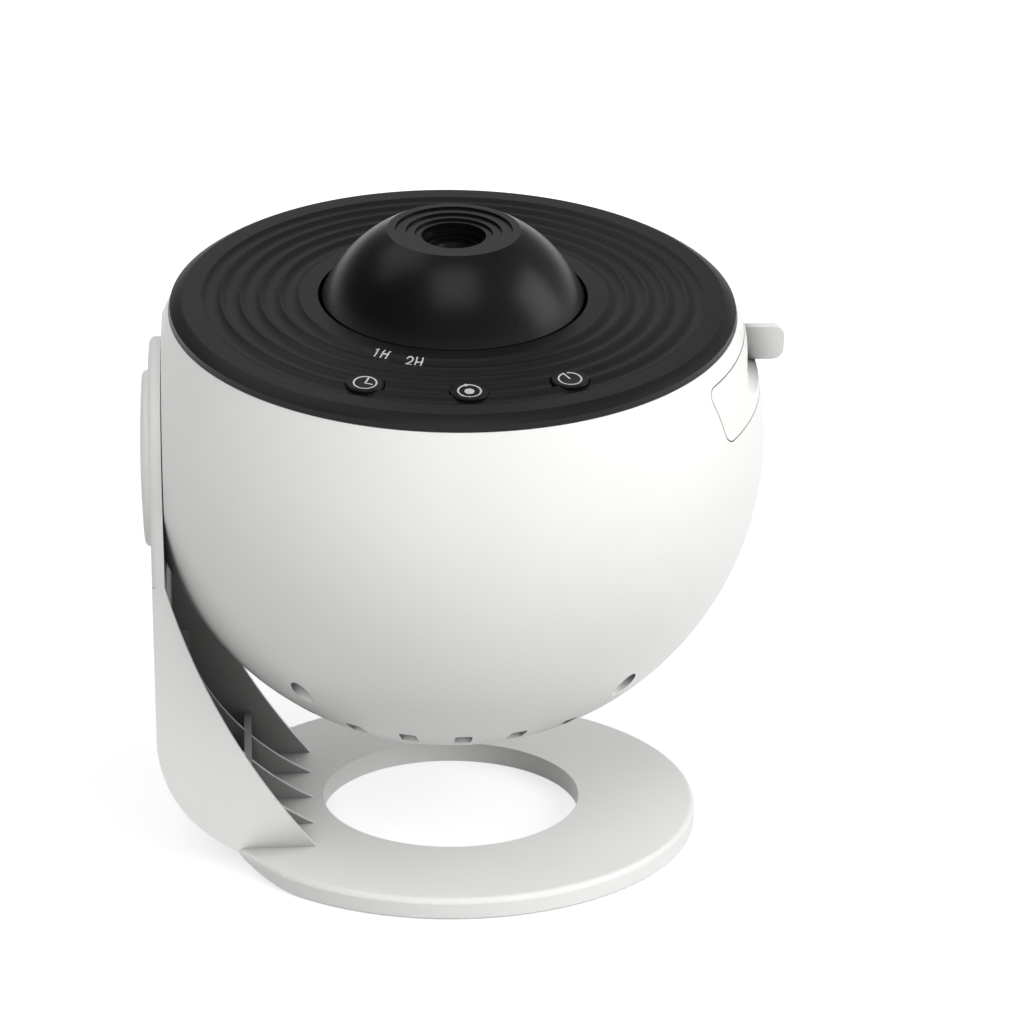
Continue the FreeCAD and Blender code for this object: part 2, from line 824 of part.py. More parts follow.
def tact_switches():
    """Three push switches on the button board, under the buttons."""
    switches = []
    for angle in button_angles.values():
        half = switch_side / 2
        body = block(-half, half, -half, half, button_board_top, switch_top)
        body = body.fuse(rod(plunger_radius, switch_top, switch_top + plunger_height))
        body.rotate(vec(0, 0, 0), vec(0, 0, 1), angle)
        x, y = polar(button_circle, angle)
        body.translate(vec(x, y, 0))
        switches.append(body)
    return Part.makeCompound(switches)


def button_post_places():
    return [polar(button_circle, -90 + side * button_spacing / 2) for side in (-1, 1)]


def button_board():
    """Arc-shaped circuit board that carries the switches."""
    bottom = button_board_top - board_thickness
    sector = outline((button_board_inner, bottom), (button_board_outer, bottom),
                     (button_board_outer, button_board_top), (button_board_inner, button_board_top))
    board = sector.revolve(vec(0, 0, 0), vec(0, 0, 1), 2 * button_board_half_angle)
    board.rotate(vec(0, 0, 0), vec(0, 0, 1), -90 - button_board_half_angle)
    for x, y in button_post_places():
        board = board.cut(rod(small_screw_radius + screw_clearance, bottom - 1, button_board_top + 1,
                              x, y))
    return board


def button_board_screws():
    """Two screws up through the button board into the cover's short posts."""
    seat = button_board_top - board_thickness
    return Part.makeCompound([small_screw(seat, board_thickness + button_screw_bite, x, y)
                              for x, y in button_post_places()])


def inner_frame():
    """Deck with drawer rails, clamped between the shell's wells and the cover's posts."""
    reach = math.sqrt(inner_radius**2 - deck_top**2) - deck_clearance
    deck = rod(reach, deck_bottom, deck_top)
    deck = deck.cut(block(-200, facet_x + facet_wall + deck_clearance, -100, 100, -100, 100))
    rails = []
    wall_y = tray_width / 2 + rail_clearance
    for side in (-1, 1):
        low, high = sorted((side * wall_y, side * (wall_y + rail_wall)))
        rails.append(block(rail_start, rail_start + rail_length, low, high, deck_bottom,
                           tray_wall_top + rail_rise))
        low, high = sorted((side * (wall_y - rail_ledge), side * (wall_y + rail_wall)))
        rails.append(block(rail_start, rail_start + rail_length, low, high, deck_bottom,
                           tray_bottom - rail_clearance))
    limit = Part.makeSphere(inner_radius - deck_clearance)
    frame = fuse_all([deck] + [rail.common(limit) for rail in rails])
    frame = frame.cut(rod(condenser_radius + holder_wall + holder_deck_clearance, 0, deck_top + 1))
    frame = frame.cut(rod(shaft_radius + deck_shaft_clearance, 0, deck_top + 1, drive_x, 0))
    for x, y in case_screw_places():
        frame = frame.cut(rod(case_screw_radius + thread_clearance, 0, deck_top + 1, x, y))
    for x, y in motor_screw_places() + holder_screw_places():
        frame = frame.cut(rod(small_screw_radius + thread_clearance, 0, deck_top + 1, x, y))
    return frame


# ---- focus dome and lens ----


def focus_dome():
    """Turning dome: terraced mouth, stepped bore, flange and a splined inner tube."""
    web_top = dome_top - len(terrace_radii) * terrace_drop
    web = web_top - len(bore_radii) * bore_step
    moves = [(bore_radii[1], web), (bore_radii[1], web_top - bore_step)]
    moves += [(bore_radii[0], web_top - bore_step), (bore_radii[0], web_top)]
    height = web_top
    for radius in reversed(terrace_radii):
        moves += [(radius, height), (radius, height + terrace_drop)]
        height += terrace_drop
    shoulder = math.sqrt(dome_ball_radius**2 - dome_radius**2) + dome_centre
    spread = (math.asin(dome_top_radius / dome_ball_radius)
              + math.asin(dome_radius / dome_ball_radius)) / 2
    mid = (dome_ball_radius * math.sin(spread), dome_centre + dome_ball_radius * math.cos(spread))
    inner_ball = dome_ball_radius - dome_wall
    inner_skirt = dome_radius - dome_wall
    tube_outer = spline_tube_bore + spline_tube_wall
    ceiling = web - bore_lip
    inner_shoulder = math.sqrt(inner_ball**2 - inner_skirt**2) + dome_centre
    inner_top = math.sqrt(inner_ball**2 - tube_outer**2) + dome_centre
    inner_spread = (math.asin(tube_outer / inner_ball) + math.asin(inner_skirt / inner_ball)) / 2
    inner_mid = (inner_ball * math.sin(inner_spread),
                 dome_centre + inner_ball * math.cos(inner_spread))
    tube_bottom = mount_bottom + mount_tube_height + spline_tube_gap
    moves += [(dome_top_radius, dome_top), (mid, (dome_radius, shoulder)),
              (dome_radius, dome_flange_top), (dome_radius + dome_flange, dome_flange_top),
              (dome_radius + dome_flange, dome_bottom), (inner_skirt, dome_bottom),
              (inner_skirt, inner_shoulder), (inner_mid, (tube_outer, inner_top)),
              (tube_outer, tube_bottom), (spline_tube_bore, tube_bottom),
              (spline_tube_bore, ceiling), (bore_radii[1], ceiling)]
    dome = turned((bore_radii[1], ceiling), *moves)
    for side in (0, 180):
        reach = barrel_radius + spline_height + spline_clearance
        half = spline_width / 2 + spline_clearance
        slot = block(0, reach, -half, half, tube_bottom - 1, ceiling)
        slot.rotate(vec(0, 0, 0), vec(0, 0, 1), side)
        dome = dome.cut(slot)
    return dome


def barrel_levels():
    """Heights of the barrel's nose, shoulder and bottom at rest."""
    nose_top = dome_top - nose_depth
    shoulder = nose_top - nose_length
    bottom = mount_bottom + focus_travel - spline_tube_clearance
    return nose_top, shoulder, bottom


def lens_barrel():
    """Sliding barrel with a stepped nose, an outer key on each side and lens seats."""
    nose_top, shoulder, bottom = barrel_levels()
    bore = barrel_radius - barrel_wall
    face = nose_top - nose_step
    seat = shoulder - barrel_seat
    barrel = turned((nose_aperture, face - nose_bevel_depth), (nose_aperture + nose_bevel, face),
                    (nose_step_radius, face), (nose_step_radius, nose_top),
                    (nose_radius, nose_top), (nose_radius, shoulder), (barrel_radius, shoulder),
                    (barrel_radius, bottom), (bore, bottom), (bore, seat),
                    (nose_aperture + barrel_seat, seat), (nose_aperture, shoulder))
    for side in (0, 180):
        key = block(barrel_radius - barrel_wall / 2, barrel_radius + spline_height,
                    -spline_width / 2, spline_width / 2, shoulder - spline_inset - spline_length,
                    shoulder - spline_inset)
        key.rotate(vec(0, 0, 0), vec(0, 0, 1), side)
        barrel = barrel.fuse(key)
    return barrel


def lens(bottom, bulge_up, radius):
    """A plano-convex lens with its flat side down or up."""
    edge = lens_thickness - lens_bulge
    if bulge_up:
        return turned((0, bottom), (radius, bottom), (radius, bottom + edge),
                      cap_arc(radius, bottom + edge, lens_bulge))
    return turned((0, bottom + lens_thickness), (radius, bottom + lens_thickness),
                  (radius, bottom + lens_bulge), cap_arc(radius, bottom + lens_bulge, -lens_bulge))


def lens_stack():
    """Bottom heights of the front lens, spacer and rear lens in the barrel."""
    front = barrel_levels()[1] - barrel_seat - lens_thickness
    spacer = front - lens_spacing
    rear = spacer - lens_thickness
    return front, spacer, rear


def front_lens():
    return lens(lens_stack()[0], False, barrel_radius - barrel_wall - lens_edge_clearance)


def lens_spacer():
    front, spacer, _ = lens_stack()
    outer = barrel_radius - barrel_wall - lens_edge_clearance
    inner = outer - spacer_wall
    seat = lens_bulge * (inner / outer)**2 - EPS
    return tube(outer, inner, spacer - seat, front + seat)


def rear_lens():
    return lens(lens_stack()[2], True, barrel_radius - barrel_wall - lens_edge_clearance)


def ring_nut():
    """Slotted ring screwed into the bottom of the barrel under the rear lens."""
    outer = barrel_radius - barrel_wall - lens_edge_clearance
    top = lens_stack()[2]
    nut = tube(outer, outer - ring_nut_wall, top - ring_nut_height, top)
    return nut.cut(block(-outer, outer, -ring_nut_slot / 2, ring_nut_slot / 2,
                         top - ring_nut_height - 1, top - ring_nut_height + ring_nut_slot_depth))


def lens_mount():
    """Plate under the dome with the tube that the barrel screws into."""
    tube_inner = barrel_radius + barrel_clearance
    mount = turned((tube_inner, mount_bottom), (mount_post_circle + mount_post_radius, mount_bottom),
                   (mount_post_circle + mount_post_radius, mount_top),
                   (tube_inner + mount_tube_wall, mount_top),
                   (tube_inner + mount_tube_wall, mount_bottom + mount_tube_height),
                   (tube_inner, mount_bottom + mount_tube_height))
    for angle in mount_post_angles:
        x, y = polar(mount_post_circle, angle)
        mount = mount.cut(rod(mount_screw_radius + thread_clearance, mount_bottom - 1,
                              mount_top + 1, x, y))
        mount = mount.cut(rod(2 * mount_screw_radius + thread_clearance, mount_bottom - 1,
                              mount_bottom + mount_screw_sink, x, y))
    return mount


def mount_screws():
    """Three sunk screws that hold the lens mount under the cover."""
    screws = []
    for angle in mount_post_angles:
        x, y = polar(mount_post_circle, angle)
        screws.append(screw_up(mount_screw_radius, 2 * mount_screw_radius, mount_screw_sink,
                               mount_bottom + mount_screw_sink, mount_screw_length, x, y))
    return Part.makeCompound(screws)


# ---- film drawer, disc and drive ----


def film_drawer():
    """Curved front flush with the ball, finger scoop, pull tab and a tray for the disc."""
    ball = Part.makeSphere(ball_radius)
    skin = ball.cut(Part.makeSphere(inner_radius - front_thickening))
    front = skin.common(drawer_bar(drawer_seam, 0, 2 * ball_radius))
    front_x = math.sqrt(ball_radius**2 - drawer_centre**2)
    scoop_z = drawer_centre + scoop_rise
    scoop_x = math.sqrt(ball_radius**2 - scoop_z**2 - (scoop_length / 2)**2)
    backing = block(scoop_x - scoop_backing, ball_radius, -scoop_length / 2, scoop_length / 2,
                    tray_floor_top, tray_wall_top + scoop_backing_rise)
    front = front.fuse(backing.common(ball))
    scoop_from = -scoop_length / 2 - scoop_overrun
    scoop = Part.makeCylinder(scoop_radius, -2 * scoop_from,
                              vec(scoop_x + scoop_radius, scoop_from, scoop_z), vec(0, 1, 0))
    front = front.cut(scoop)
    half = tray_width / 2
    tray = block(tray_tail_x, front_x - shell_wall, -half, half, tray_bottom, tray_wall_top)
    tray = tray.common(Part.makeSphere(ball_radius - tray_skin_gap))
    tray = tray.cut(rod(pocket_radius, tray_floor_top, tray_wall_top + 1))
    tray = tray.cut(rod(pilot_radius + pilot_clearance, tray_bottom - 1, tray_wall_top))
    tray = tray.cut(block(2 * tray_tail_x, 0, -tray_notch / 2, tray_notch / 2, tray_floor_top,
                          tray_wall_top + 1))
    tab_top = drawer_centre + tab_height / 2 - tab_drop
    tab_root = scoop_x - scoop_backing / 2
    tab_tip = front_x + tab_length
    tab_low = tab_top - tab_height
    cut = tab_corner * (1 - math.sqrt(0.5))
    tab = plate(outline((tab_root, tab_low), (tab_tip - tab_corner, tab_low),
                        ((tab_tip - cut, tab_low + cut), (tab_tip, tab_low + tab_corner)),
                        (tab_tip, tab_top - tab_corner),
                        ((tab_tip - cut, tab_top - cut), (tab_tip - tab_corner, tab_top)),
                        (tab_root, tab_top)),
                -tab_thickness / 2, tab_thickness / 2)
    return fuse_all([front, tray, tab])


def film_ring():
    """Toothed carrier ring of the film disc, with a pilot that turns in the tray."""
    ring = gear(disc_teeth, disc_thickness, disc_bottom)
    ring = ring.fuse(rod(pilot_radius, tray_bottom + disc_lift, disc_bottom + EPS))
    step = disc_bottom + disc_lift + film_ledge_height
    ring = ring.cut(rod(film_radius - film_ledge, tray_bottom - 1, disc_top + 1))
    return ring.cut(rod(film_radius + film_clearance, step, disc_top + 1))


def star_film():
    """Clear disc that carries the star picture."""
    step = disc_bottom + disc_lift + film_ledge_height
    return rod(film_radius, step, step + film_thickness)


def drive_pinion():
    """Ten-tooth wheel on the motor's shaft, level with the middle of the disc's teeth."""
    bottom = disc_bottom + (disc_thickness - pinion_thickness) / 2
    wheel = gear(pinion_teeth, pinion_thickness, bottom, 180 / pinion_teeth)
    wheel = wheel.cut(rod(shaft_radius + shaft_press, disc_bottom - 1, disc_top + 1))
    wheel.translate(vec(drive_x, 0, 0))
    return wheel


def motor_shaft():
    return rod(shaft_radius, deck_bottom - motor_shaft_depth, disc_top, drive_x, 0)


def motor_screw_places():
    reach = motor_radius + motor_ear_reach / 2
    return [(drive_x, side * reach) for side in (-1, 1)]


def drive_motor():
    """Small round gear motor under the deck, with two mounting ears."""
    top, bottom = deck_bottom, deck_bottom - motor_height
    half = motor_radius + motor_ear_reach
    ears = block(drive_x - motor_ear_width / 2, drive_x + motor_ear_width / 2, -half, half,
                 top - motor_ear_thickness, top)
    body = rod(motor_radius, bottom, top, drive_x, 0)
    body = body.makeFillet(motor_edge_round, at_heights(body, bottom - EPS, bottom + EPS))
    motor = body.fuse(ears)
    for x, y in motor_screw_places():
        motor = motor.cut(rod(small_screw_radius + screw_clearance, bottom, top + 1, x, y))
    shaft_bottom = top - motor_shaft_depth - shaft_end_gap
    return motor.cut(rod(shaft_radius + shaft_clearance, shaft_bottom, top + 1, drive_x, 0))


def motor_screws():
    """Two screws up through the motor's ears into the deck."""
    seat = deck_bottom - motor_ear_thickness
    return Part.makeCompound([small_screw(seat, motor_ear_thickness + small_screw_bite, x, y)
                              for x, y in motor_screw_places()])


# ---- light engine and electronics ----


def condenser_holder():
    """Black tube from the light source to the film, flanged under the deck."""
    bore = condenser_radius + holder_bore_clearance
    outer = condenser_radius + holder_wall
    flange = outer + holder_flange
    holder = turned((bore - holder_lip, holder_bottom), (outer, holder_bottom),
                  (outer, deck_bottom - holder_flange_height),
                  (flange, deck_bottom - holder_flange_height), (flange, deck_bottom),
                  (outer, deck_bottom), (outer, deck_top), (bore, deck_top), (bore, condenser_base),
                  (bore - holder_lip, condenser_base))
    for x, y in holder_screw_places():
        holder = holder.cut(rod(small_screw_radius + screw_clearance, 0, deck_bottom + 1, x, y))
    for x, y in sink_screw_places():
        holder = holder.cut(rod(small_screw_radius + thread_clearance, holder_bottom - 1,
                                holder_bottom + holder_screw_hole, x, y))
    return holder


def holder_screw_places():
    reach = condenser_radius + holder_wall + holder_flange / 2
    return [polar(reach, angle) for angle in holder_screw_angles]


def holder_screws():
    """Three screws up through the holder's flange into the deck."""
    seat = deck_bottom - holder_flange_height
    return Part.makeCompound([small_screw(seat, holder_flange_height + small_screw_bite, x, y)
                              for x, y in holder_screw_places()])


def sink_screw_places():
    return [(0, -led_board_radius), (0, led_board_radius)]


def sink_screws():
    """Two screws up through the heat sink and the board's notches into the holder."""
    seat = sink_top - sink_plate
    length = sink_plate + board_thickness + sink_screw_bite
    return Part.makeCompound([small_screw(seat, length, x, y) for x, y in sink_screw_places()])


def condenser_lens():
    """Thick plano-convex lens that gathers the light on to the film."""
    edge = condenser_base + condenser_edge
    return turned((0, condenser_base), (condenser_radius, condenser_base), (condenser_radius, edge),
                  cap_arc(condenser_radius, edge, condenser_bulge))


def light_source():
    """Square emitter package with its own small dome."""
    half = led_side / 2
    chip = block(-half, half, -half, half, led_board_top, led_board_top + led_height)
    face = led_board_top + led_height
    ball = Part.makeSphere(led_dome_radius, vec(0, 0, face - led_dome_sink))
    return chip.fuse(ball.common(rod(led_dome_radius + 1, face - led_dome_sink / 2,
                                     face + led_dome_radius)))


def emitter_board():
    """Metal board under the holder with edge notches."""
    board = rod(led_board_radius, led_board_top - board_thickness, led_board_top)
    for index in range(notch_count):
        x, y = polar(led_board_radius, 360 / notch_count * (index + 0.5))
        board = board.cut(rod(notch_radius, led_board_top - board_thickness - 1, led_board_top + 1,
                              x, y))
    return board


def heat_sink():
    """Round plate with parallel fins cut to its outline."""
    plate_bottom = sink_top - sink_plate
    sink = rod(sink_radius, plate_bottom, sink_top)
    pitch = 2 * (sink_radius - fin_margin) / (fin_count - 1)
    fins = []
    for index in range(fin_count):
        x = (index - (fin_count - 1) / 2) * pitch
        fin = block(x - fin_wall / 2, x + fin_wall / 2, -sink_radius, sink_radius,
                    plate_bottom - fin_height, plate_bottom)
        fins.append(fin.common(rod(sink_radius, plate_bottom - fin_height, plate_bottom + EPS)))
    sink = fuse_all([sink] + fins)
    for x, y in sink_screw_places():
        sink = sink.cut(rod(small_screw_radius + screw_clearance, plate_bottom - 1, sink_top + 1,
                            x, y))
        sink = sink.cut(rod(2 * (small_screw_radius + screw_clearance),
                            plate_bottom - fin_height - 1, plate_bottom, x, y))
    return sink


def main_board():
    """Round main board with a tongue at the back that carries the inlet."""
    bottom = main_board_top - board_thickness
    board = rod(main_board_radius, bottom, main_board_top)
    reach = min(inlet_back() + inlet_length, wall_height(-bottom, inner_radius))
    half = inlet_width / 2 + board_tongue_margin
    tongue = block(-half, half, 0, reach - board_tongue_gap, bottom, main_board_top)
    board = board.fuse(tongue)
    for x, y in board_post_places():
        board = board.cut(rod(mount_screw_radius + screw_clearance, bottom - 1, main_board_top + 1,
                              x, y))
    return board.removeSplitter()


def board_screws():
    """Four screws down through the main board into the shell's posts."""
    screws = []
    bottom = main_board_top - board_thickness
    for x, y in board_post_places():
        head = rod(2 * mount_screw_radius, main_board_top,
                   main_board_top + board_screw_head_height, x, y)
        screws.append(head.fuse(rod(mount_screw_radius, bottom, main_board_top, x, y)))
    return Part.makeCompound(screws)


def power_inlet():
    """Flat-oval low-voltage socket on the back edge of the main board."""
    y_from = inlet_back()
    middle = main_board_top + inlet_height / 2
    case = bar_yz(inlet_width, inlet_height, inlet_height / 2 - EPS, y_from, y_from + inlet_length, middle)
    hollow = bar_yz(inlet_width - 2 * inlet_wall, inlet_height - 2 * inlet_wall,
                    inlet_height / 2 - inlet_wall - EPS, y_from + inlet_floor,
                    y_from + inlet_length + 1, middle)
    tongue = block(y_from + inlet_floor / 2, y_from + inlet_length - inlet_tongue_recess,
                   -inlet_tongue_width / 2, inlet_tongue_width / 2,
                   middle - inlet_tongue_thickness / 2, middle + inlet_tongue_thickness / 2)
    socket = case.cut(hollow).fuse(tongue)
    socket.rotate(vec(0, 0, 0), vec(0, 0, 1), 90)
    return socket


def wire_headers():
    """Two plug headers on the main board, for the light and for the motor and buttons."""
    headers = []
    half, reach = header_width / 2, header_length / 2
    for x in header_places:
        body = block(x - half, x + half, -reach, reach, main_board_top, main_board_top + header_height)
        headers.append(body.cut(block(x - half + header_wall, x + half - header_wall,
                                      -reach + header_wall, reach - header_wall,
                                      main_board_top + header_wall,
                                      main_board_top + header_height + 1)))
    return Part.makeCompound(headers)


def on_stand(shape):
    """Moves a piece of the head from its upright place to the tilted one on the stand."""
    placed = shape.copy()
    placed.translate(vec(0, 0, pivot_drop))
    placed.rotate(vec(0, 0, 0), vec(1, 0, 0), rest_tilt)
    placed.translate(vec(0, 0, pivot_height))
    return placed


STAND_PARTS = {
    "stand_frame": stand_frame,
    "foot_pads": foot_pads,
    "pivot_cap": pivot_cap,
    "friction_ring": friction_ring,
}
HEAD_PARTS = {
    "bowl_shell": bowl_shell,
    "pivot_washer": pivot_washer,
    "pivot_screw": pivot_screw,
    "case_screws": case_screws,
    "top_cover": top_cover,
    "tact_switches": tact_switches,
    "button_board": button_board,
    "inner_frame": inner_frame,
    "button_board_screws": button_board_screws,
    "motor_screws": motor_screws,
    "holder_screws": holder_screws,
    "sink_screws": sink_screws,
    "focus_dome": focus_dome,
    "lens_barrel": lens_barrel,
    "front_lens": front_lens,
    "lens_spacer": lens_spacer,
    "rear_lens": rear_lens,
    "ring_nut": ring_nut,
    "lens_mount": lens_mount,
    "mount_screws": mount_screws,
    "film_drawer": film_drawer,
    "film_ring": film_ring,
    "star_film": star_film,
    "drive_pinion": drive_pinion,
    "motor_shaft": motor_shaft,
    "drive_motor": drive_motor,
    "condenser_holder": condenser_holder,
    "condenser_lens": condenser_lens,
    "light_source": light_source,
    "emitter_board": emitter_board,
    "heat_sink": heat_sink,
    "main_board": main_board,
    "board_screws": board_screws,
    "power_inlet": power_inlet,
    "wire_headers": wire_headers,
}


def main():
    os.makedirs("parts", exist_ok=True)
    shapes = {name: make() for name, make in STAND_PARTS.items()}
    for name, make in HEAD_PARTS.items():
        shapes[name] = on_stand(make())
    for name in button_angles:
        shapes[name] = on_stand(button(name))
    for name, shape in shapes.items():
        shape.exportStep("parts/" + name + ".step")
        print(name, len(shape.Solids), round(shape.Volume, 1), shape.isValid())
    print("pivot height", round(pivot_height, 3))


main()
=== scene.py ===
import json
import logging
import math
from dataclasses import dataclass
from enum import Enum
from typing import Callable, ClassVar, Sequence

import bmesh
import bpy
import numpy as np
from mathutils import Matrix, Vector


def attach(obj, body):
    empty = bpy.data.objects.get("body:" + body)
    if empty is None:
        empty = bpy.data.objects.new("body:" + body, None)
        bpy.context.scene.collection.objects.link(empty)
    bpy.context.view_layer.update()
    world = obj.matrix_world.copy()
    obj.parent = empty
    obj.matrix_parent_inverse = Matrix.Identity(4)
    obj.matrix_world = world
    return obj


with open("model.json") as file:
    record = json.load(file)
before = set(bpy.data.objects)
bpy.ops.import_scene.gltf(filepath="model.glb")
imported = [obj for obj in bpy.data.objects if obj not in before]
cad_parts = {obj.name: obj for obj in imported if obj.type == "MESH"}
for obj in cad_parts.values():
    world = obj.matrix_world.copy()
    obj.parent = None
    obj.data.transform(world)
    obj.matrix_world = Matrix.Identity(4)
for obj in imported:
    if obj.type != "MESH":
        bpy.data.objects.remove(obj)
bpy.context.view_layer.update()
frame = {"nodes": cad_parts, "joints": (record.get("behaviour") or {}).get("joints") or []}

log = logging.getLogger("planetarium")

MM = 0.001
PLASTIC_IOR = 1.5
MERGE_DISTANCE = 1e-7


# ---------------------------------------------------------------- colours and nodes


def linear(hex_colour: str) -> tuple[float, float, float, float]:
    """Turns an sRGB hex colour into the linear colour that a shader takes.

    Args:
        hex_colour: six hex digits after a hash, such as "#F2F2F0".

    Returns:
        Linear red, green and blue, and an alpha of 1.
    """
    channels = [int(hex_colour[i:i + 2], 16) / 255 for i in (1, 3, 5)]
    turned = [c / 12.92 if c <= 0.04045 else ((c + 0.055) / 1.055) ** 2.4 for c in channels]
    return turned[0], turned[1], turned[2], 1.0


def add(tree: bpy.types.NodeTree, kind: str, inputs: dict | None = None, **settings) -> bpy.types.Node:
    """Adds one node to a tree, sets it, and links or fills its inputs.

    Args:
        tree: the node tree that takes the node.
        kind: the node's Blender type name.
        inputs: socket name or number to a value, or to the output socket it is linked from.
        settings: the node's own attributes, such as operation or data_type.

    Returns:
        The new node.
    """
    made = tree.nodes.new(kind)
    for name, value in settings.items():
        setattr(made, name, value)
    for name, value in (inputs or {}).items():
        socket = made.inputs[name]
        if isinstance(value, bpy.types.NodeSocket):
            tree.links.new(value, socket)
        else:
            socket.default_value = value
    return made


def fresh_material(name: str) -> tuple[bpy.types.Material, bpy.types.NodeTree, bpy.types.Node]:
    """Makes an empty node material with its output.

    Args:
        name: the material's name.

    Returns:
        The material, its node tree and its output node.
    """
    material = bpy.data.materials.new(name)
    material.use_nodes = True
    tree = material.node_tree
    tree.nodes.clear()
    return material, tree, add(tree, "ShaderNodeOutputMaterial")


def mirrored_rays(tree: bpy.types.NodeTree, rays: bpy.types.Node) -> bpy.types.NodeSocket:
    """Tells the rays that come by way of a gloss or through glass.

    Args:
        tree: the node tree that asks.
        rays: the tree's Light Path node.

    Returns:
        A socket that is 1 for such a ray and 0 for any other.
    """
    return add(tree, "ShaderNodeMath", {0: rays.outputs["Is Glossy Ray"],
                                        1: rays.outputs["Is Transmission Ray"]},
               operation="MAXIMUM").outputs["Value"]


# ---------------------------------------------------------------- finishes


@dataclass(frozen=True)
class PaintedShade:
    """Painted shade: the colour darkens where other surfaces stand close, standing in for the shade
    that falls in corners, gaps and recesses.

    The share of the half-space over a point that is clear out to the reach gives the tone: darkest
    at the shut share and below, whole at the clear share and above, and even in between.
    """

    reach_mm: float
    darkest: float
    shut: float
    clear: float
    own_piece: bool = True

    def paint_shade(self, tree: bpy.types.NodeTree, tone: bpy.types.NodeSocket) -> bpy.types.NodeSocket:
        """Multiplies a tone by the painted shade.

        Args:
            tree: the material's node tree.
            tone: the tone so far.

        Returns:
            The deepened tone.
        """
        # Painted shade: the occlusion share darkens the colour in corners, gaps and recesses.
        around = add(tree, "ShaderNodeAmbientOcclusion", {"Distance": self.reach_mm * MM}, samples=8,
                     only_local=self.own_piece)
        share = add(tree, "ShaderNodeMapRange", {"Value": around.outputs["AO"],
                                                 "From Min": self.shut, "From Max": self.clear,
                                                 "To Min": self.darkest, "To Max": 1.0})
        return add(tree, "ShaderNodeMath", {0: tone, 1: share.outputs["Result"]},
                   operation="MULTIPLY").outputs["Value"]


@dataclass(frozen=True)
class MouldedPlastic:
    """Injection-moulded plastic: an even colour, a soft gloss and a spark-eroded grain.

    The eye gets a satin sheen that breaks up a little where the grain is coarser, and a very
    faint cloudiness in the colour where the melt flowed. A real grain is about 0.1 mm wide, too
    fine to show, so it is drawn two to eight times as coarse.
    """

    name: str
    colour: str
    roughness: float
    grain_mm: float = 0.35
    grain_depth_mm: float = 0.006
    cloud_mm: float = 18.0
    cloud: float = 0.02
    roughness_spread: float = 0.04
    specular: float = 0.5
    # Painted shade in corners, gaps and recesses, multiplied into the colour's tone.
    painted_shades: tuple[PaintedShade, ...] = ()

    def make(self) -> bpy.types.Material:
        """Builds the material.

        Returns:
            The finished material.
        """
        material, tree, output = fresh_material(self.name)
        place = add(tree, "ShaderNodeTexCoord").outputs["Object"]
        grain = add(tree, "ShaderNodeTexNoise", {"Vector": place, "Scale": 1 / (self.grain_mm * MM),
                                                 "Detail": 3.0, "Roughness": 0.6})
        cloud = add(tree, "ShaderNodeTexNoise", {"Vector": place, "Scale": 1 / (self.cloud_mm * MM),
                                                 "Detail": 2.0, "Roughness": 0.5})
        tone = add(tree, "ShaderNodeMapRange", {"Value": cloud.outputs["Fac"], "From Min": 0.3,
                                                "From Max": 0.7, "To Min": 1 - self.cloud,
                                                "To Max": 1 + self.cloud}).outputs["Result"]
        # Painted shade darkens the tone where other surfaces stand close.
        for corner_shade in self.painted_shades:
            tone = corner_shade.paint_shade(tree, tone)
        colour = add(tree, "ShaderNodeVectorMath", {0: linear(self.colour)[:3], "Scale": tone},
                     operation="SCALE")
        gloss = add(tree, "ShaderNodeMapRange", {"Value": grain.outputs["Fac"], "From Min": 0.25,
                                                 "From Max": 0.75,
                                                 "To Min": self.roughness - self.roughness_spread,
                                                 "To Max": self.roughness + self.roughness_spread})
        bump = add(tree, "ShaderNodeBump", {"Height": grain.outputs["Fac"], "Strength": 1.0,
                                            "Distance": self.grain_depth_mm * MM})
        shader = add(tree, "ShaderNodeBsdfPrincipled",
                     {"Base Color": colour.outputs["Vector"], "Roughness": gloss.outputs["Result"],
                      "Normal": bump.outputs["Normal"], "IOR": PLASTIC_IOR,
                      "Specular IOR Level": self.specular})
        tree.links.new(shader.outputs["BSDF"], output.inputs["Surface"])
        return material


@dataclass(frozen=True)
class MouldedRubber:
    """Compression-moulded rubber: dark and dull, with pale dust caught in an open, coarse grain."""

    name: str
    colour: str
    dust: str = "#5A5A58"
    grain_mm: float = 0.5
    grain_depth_mm: float = 0.02
    roughness: float = 0.85
    ior: float = 1.52

    def make(self) -> bpy.types.Material:
        """Builds the material.

        Returns:
            The finished material.
        """
        material, tree, output = fresh_material(self.name)
        place = add(tree, "ShaderNodeTexCoord").outputs["Object"]
        grain = add(tree, "ShaderNodeTexNoise", {"Vector": place, "Scale": 1 / (self.grain_mm * MM),
                                                 "Detail": 4.0})
        dusty = add(tree, "ShaderNodeMapRange", {"Value": grain.outputs["Fac"], "From Min": 0.55,
                                                 "From Max": 0.75, "To Min": 0.0, "To Max": 0.35})
        colour = add(tree, "ShaderNodeMix", {"Factor": dusty.outputs["Result"],
                                             "A": linear(self.colour), "B": linear(self.dust)},
                     data_type="RGBA")
        bump = add(tree, "ShaderNodeBump", {"Height": grain.outputs["Fac"],
                                            "Distance": self.grain_depth_mm * MM})
        shader = add(tree, "ShaderNodeBsdfPrincipled",
                     {"Base Color": colour.outputs["Result"], "Roughness": self.roughness,
                      "Normal": bump.outputs["Normal"], "IOR": self.ior})
        tree.links.new(shader.outputs["BSDF"], output.inputs["Surface"])
        return material


class Lay(Enum):
    """Which way a metal's lines run, as how many times finer the pattern is along each axis."""

    ACROSS = (1.0, 60.0, 1.0)
    ALONG = (60.0, 1.0, 60.0)
    EVEN = (1.0, 1.0, 1.0)


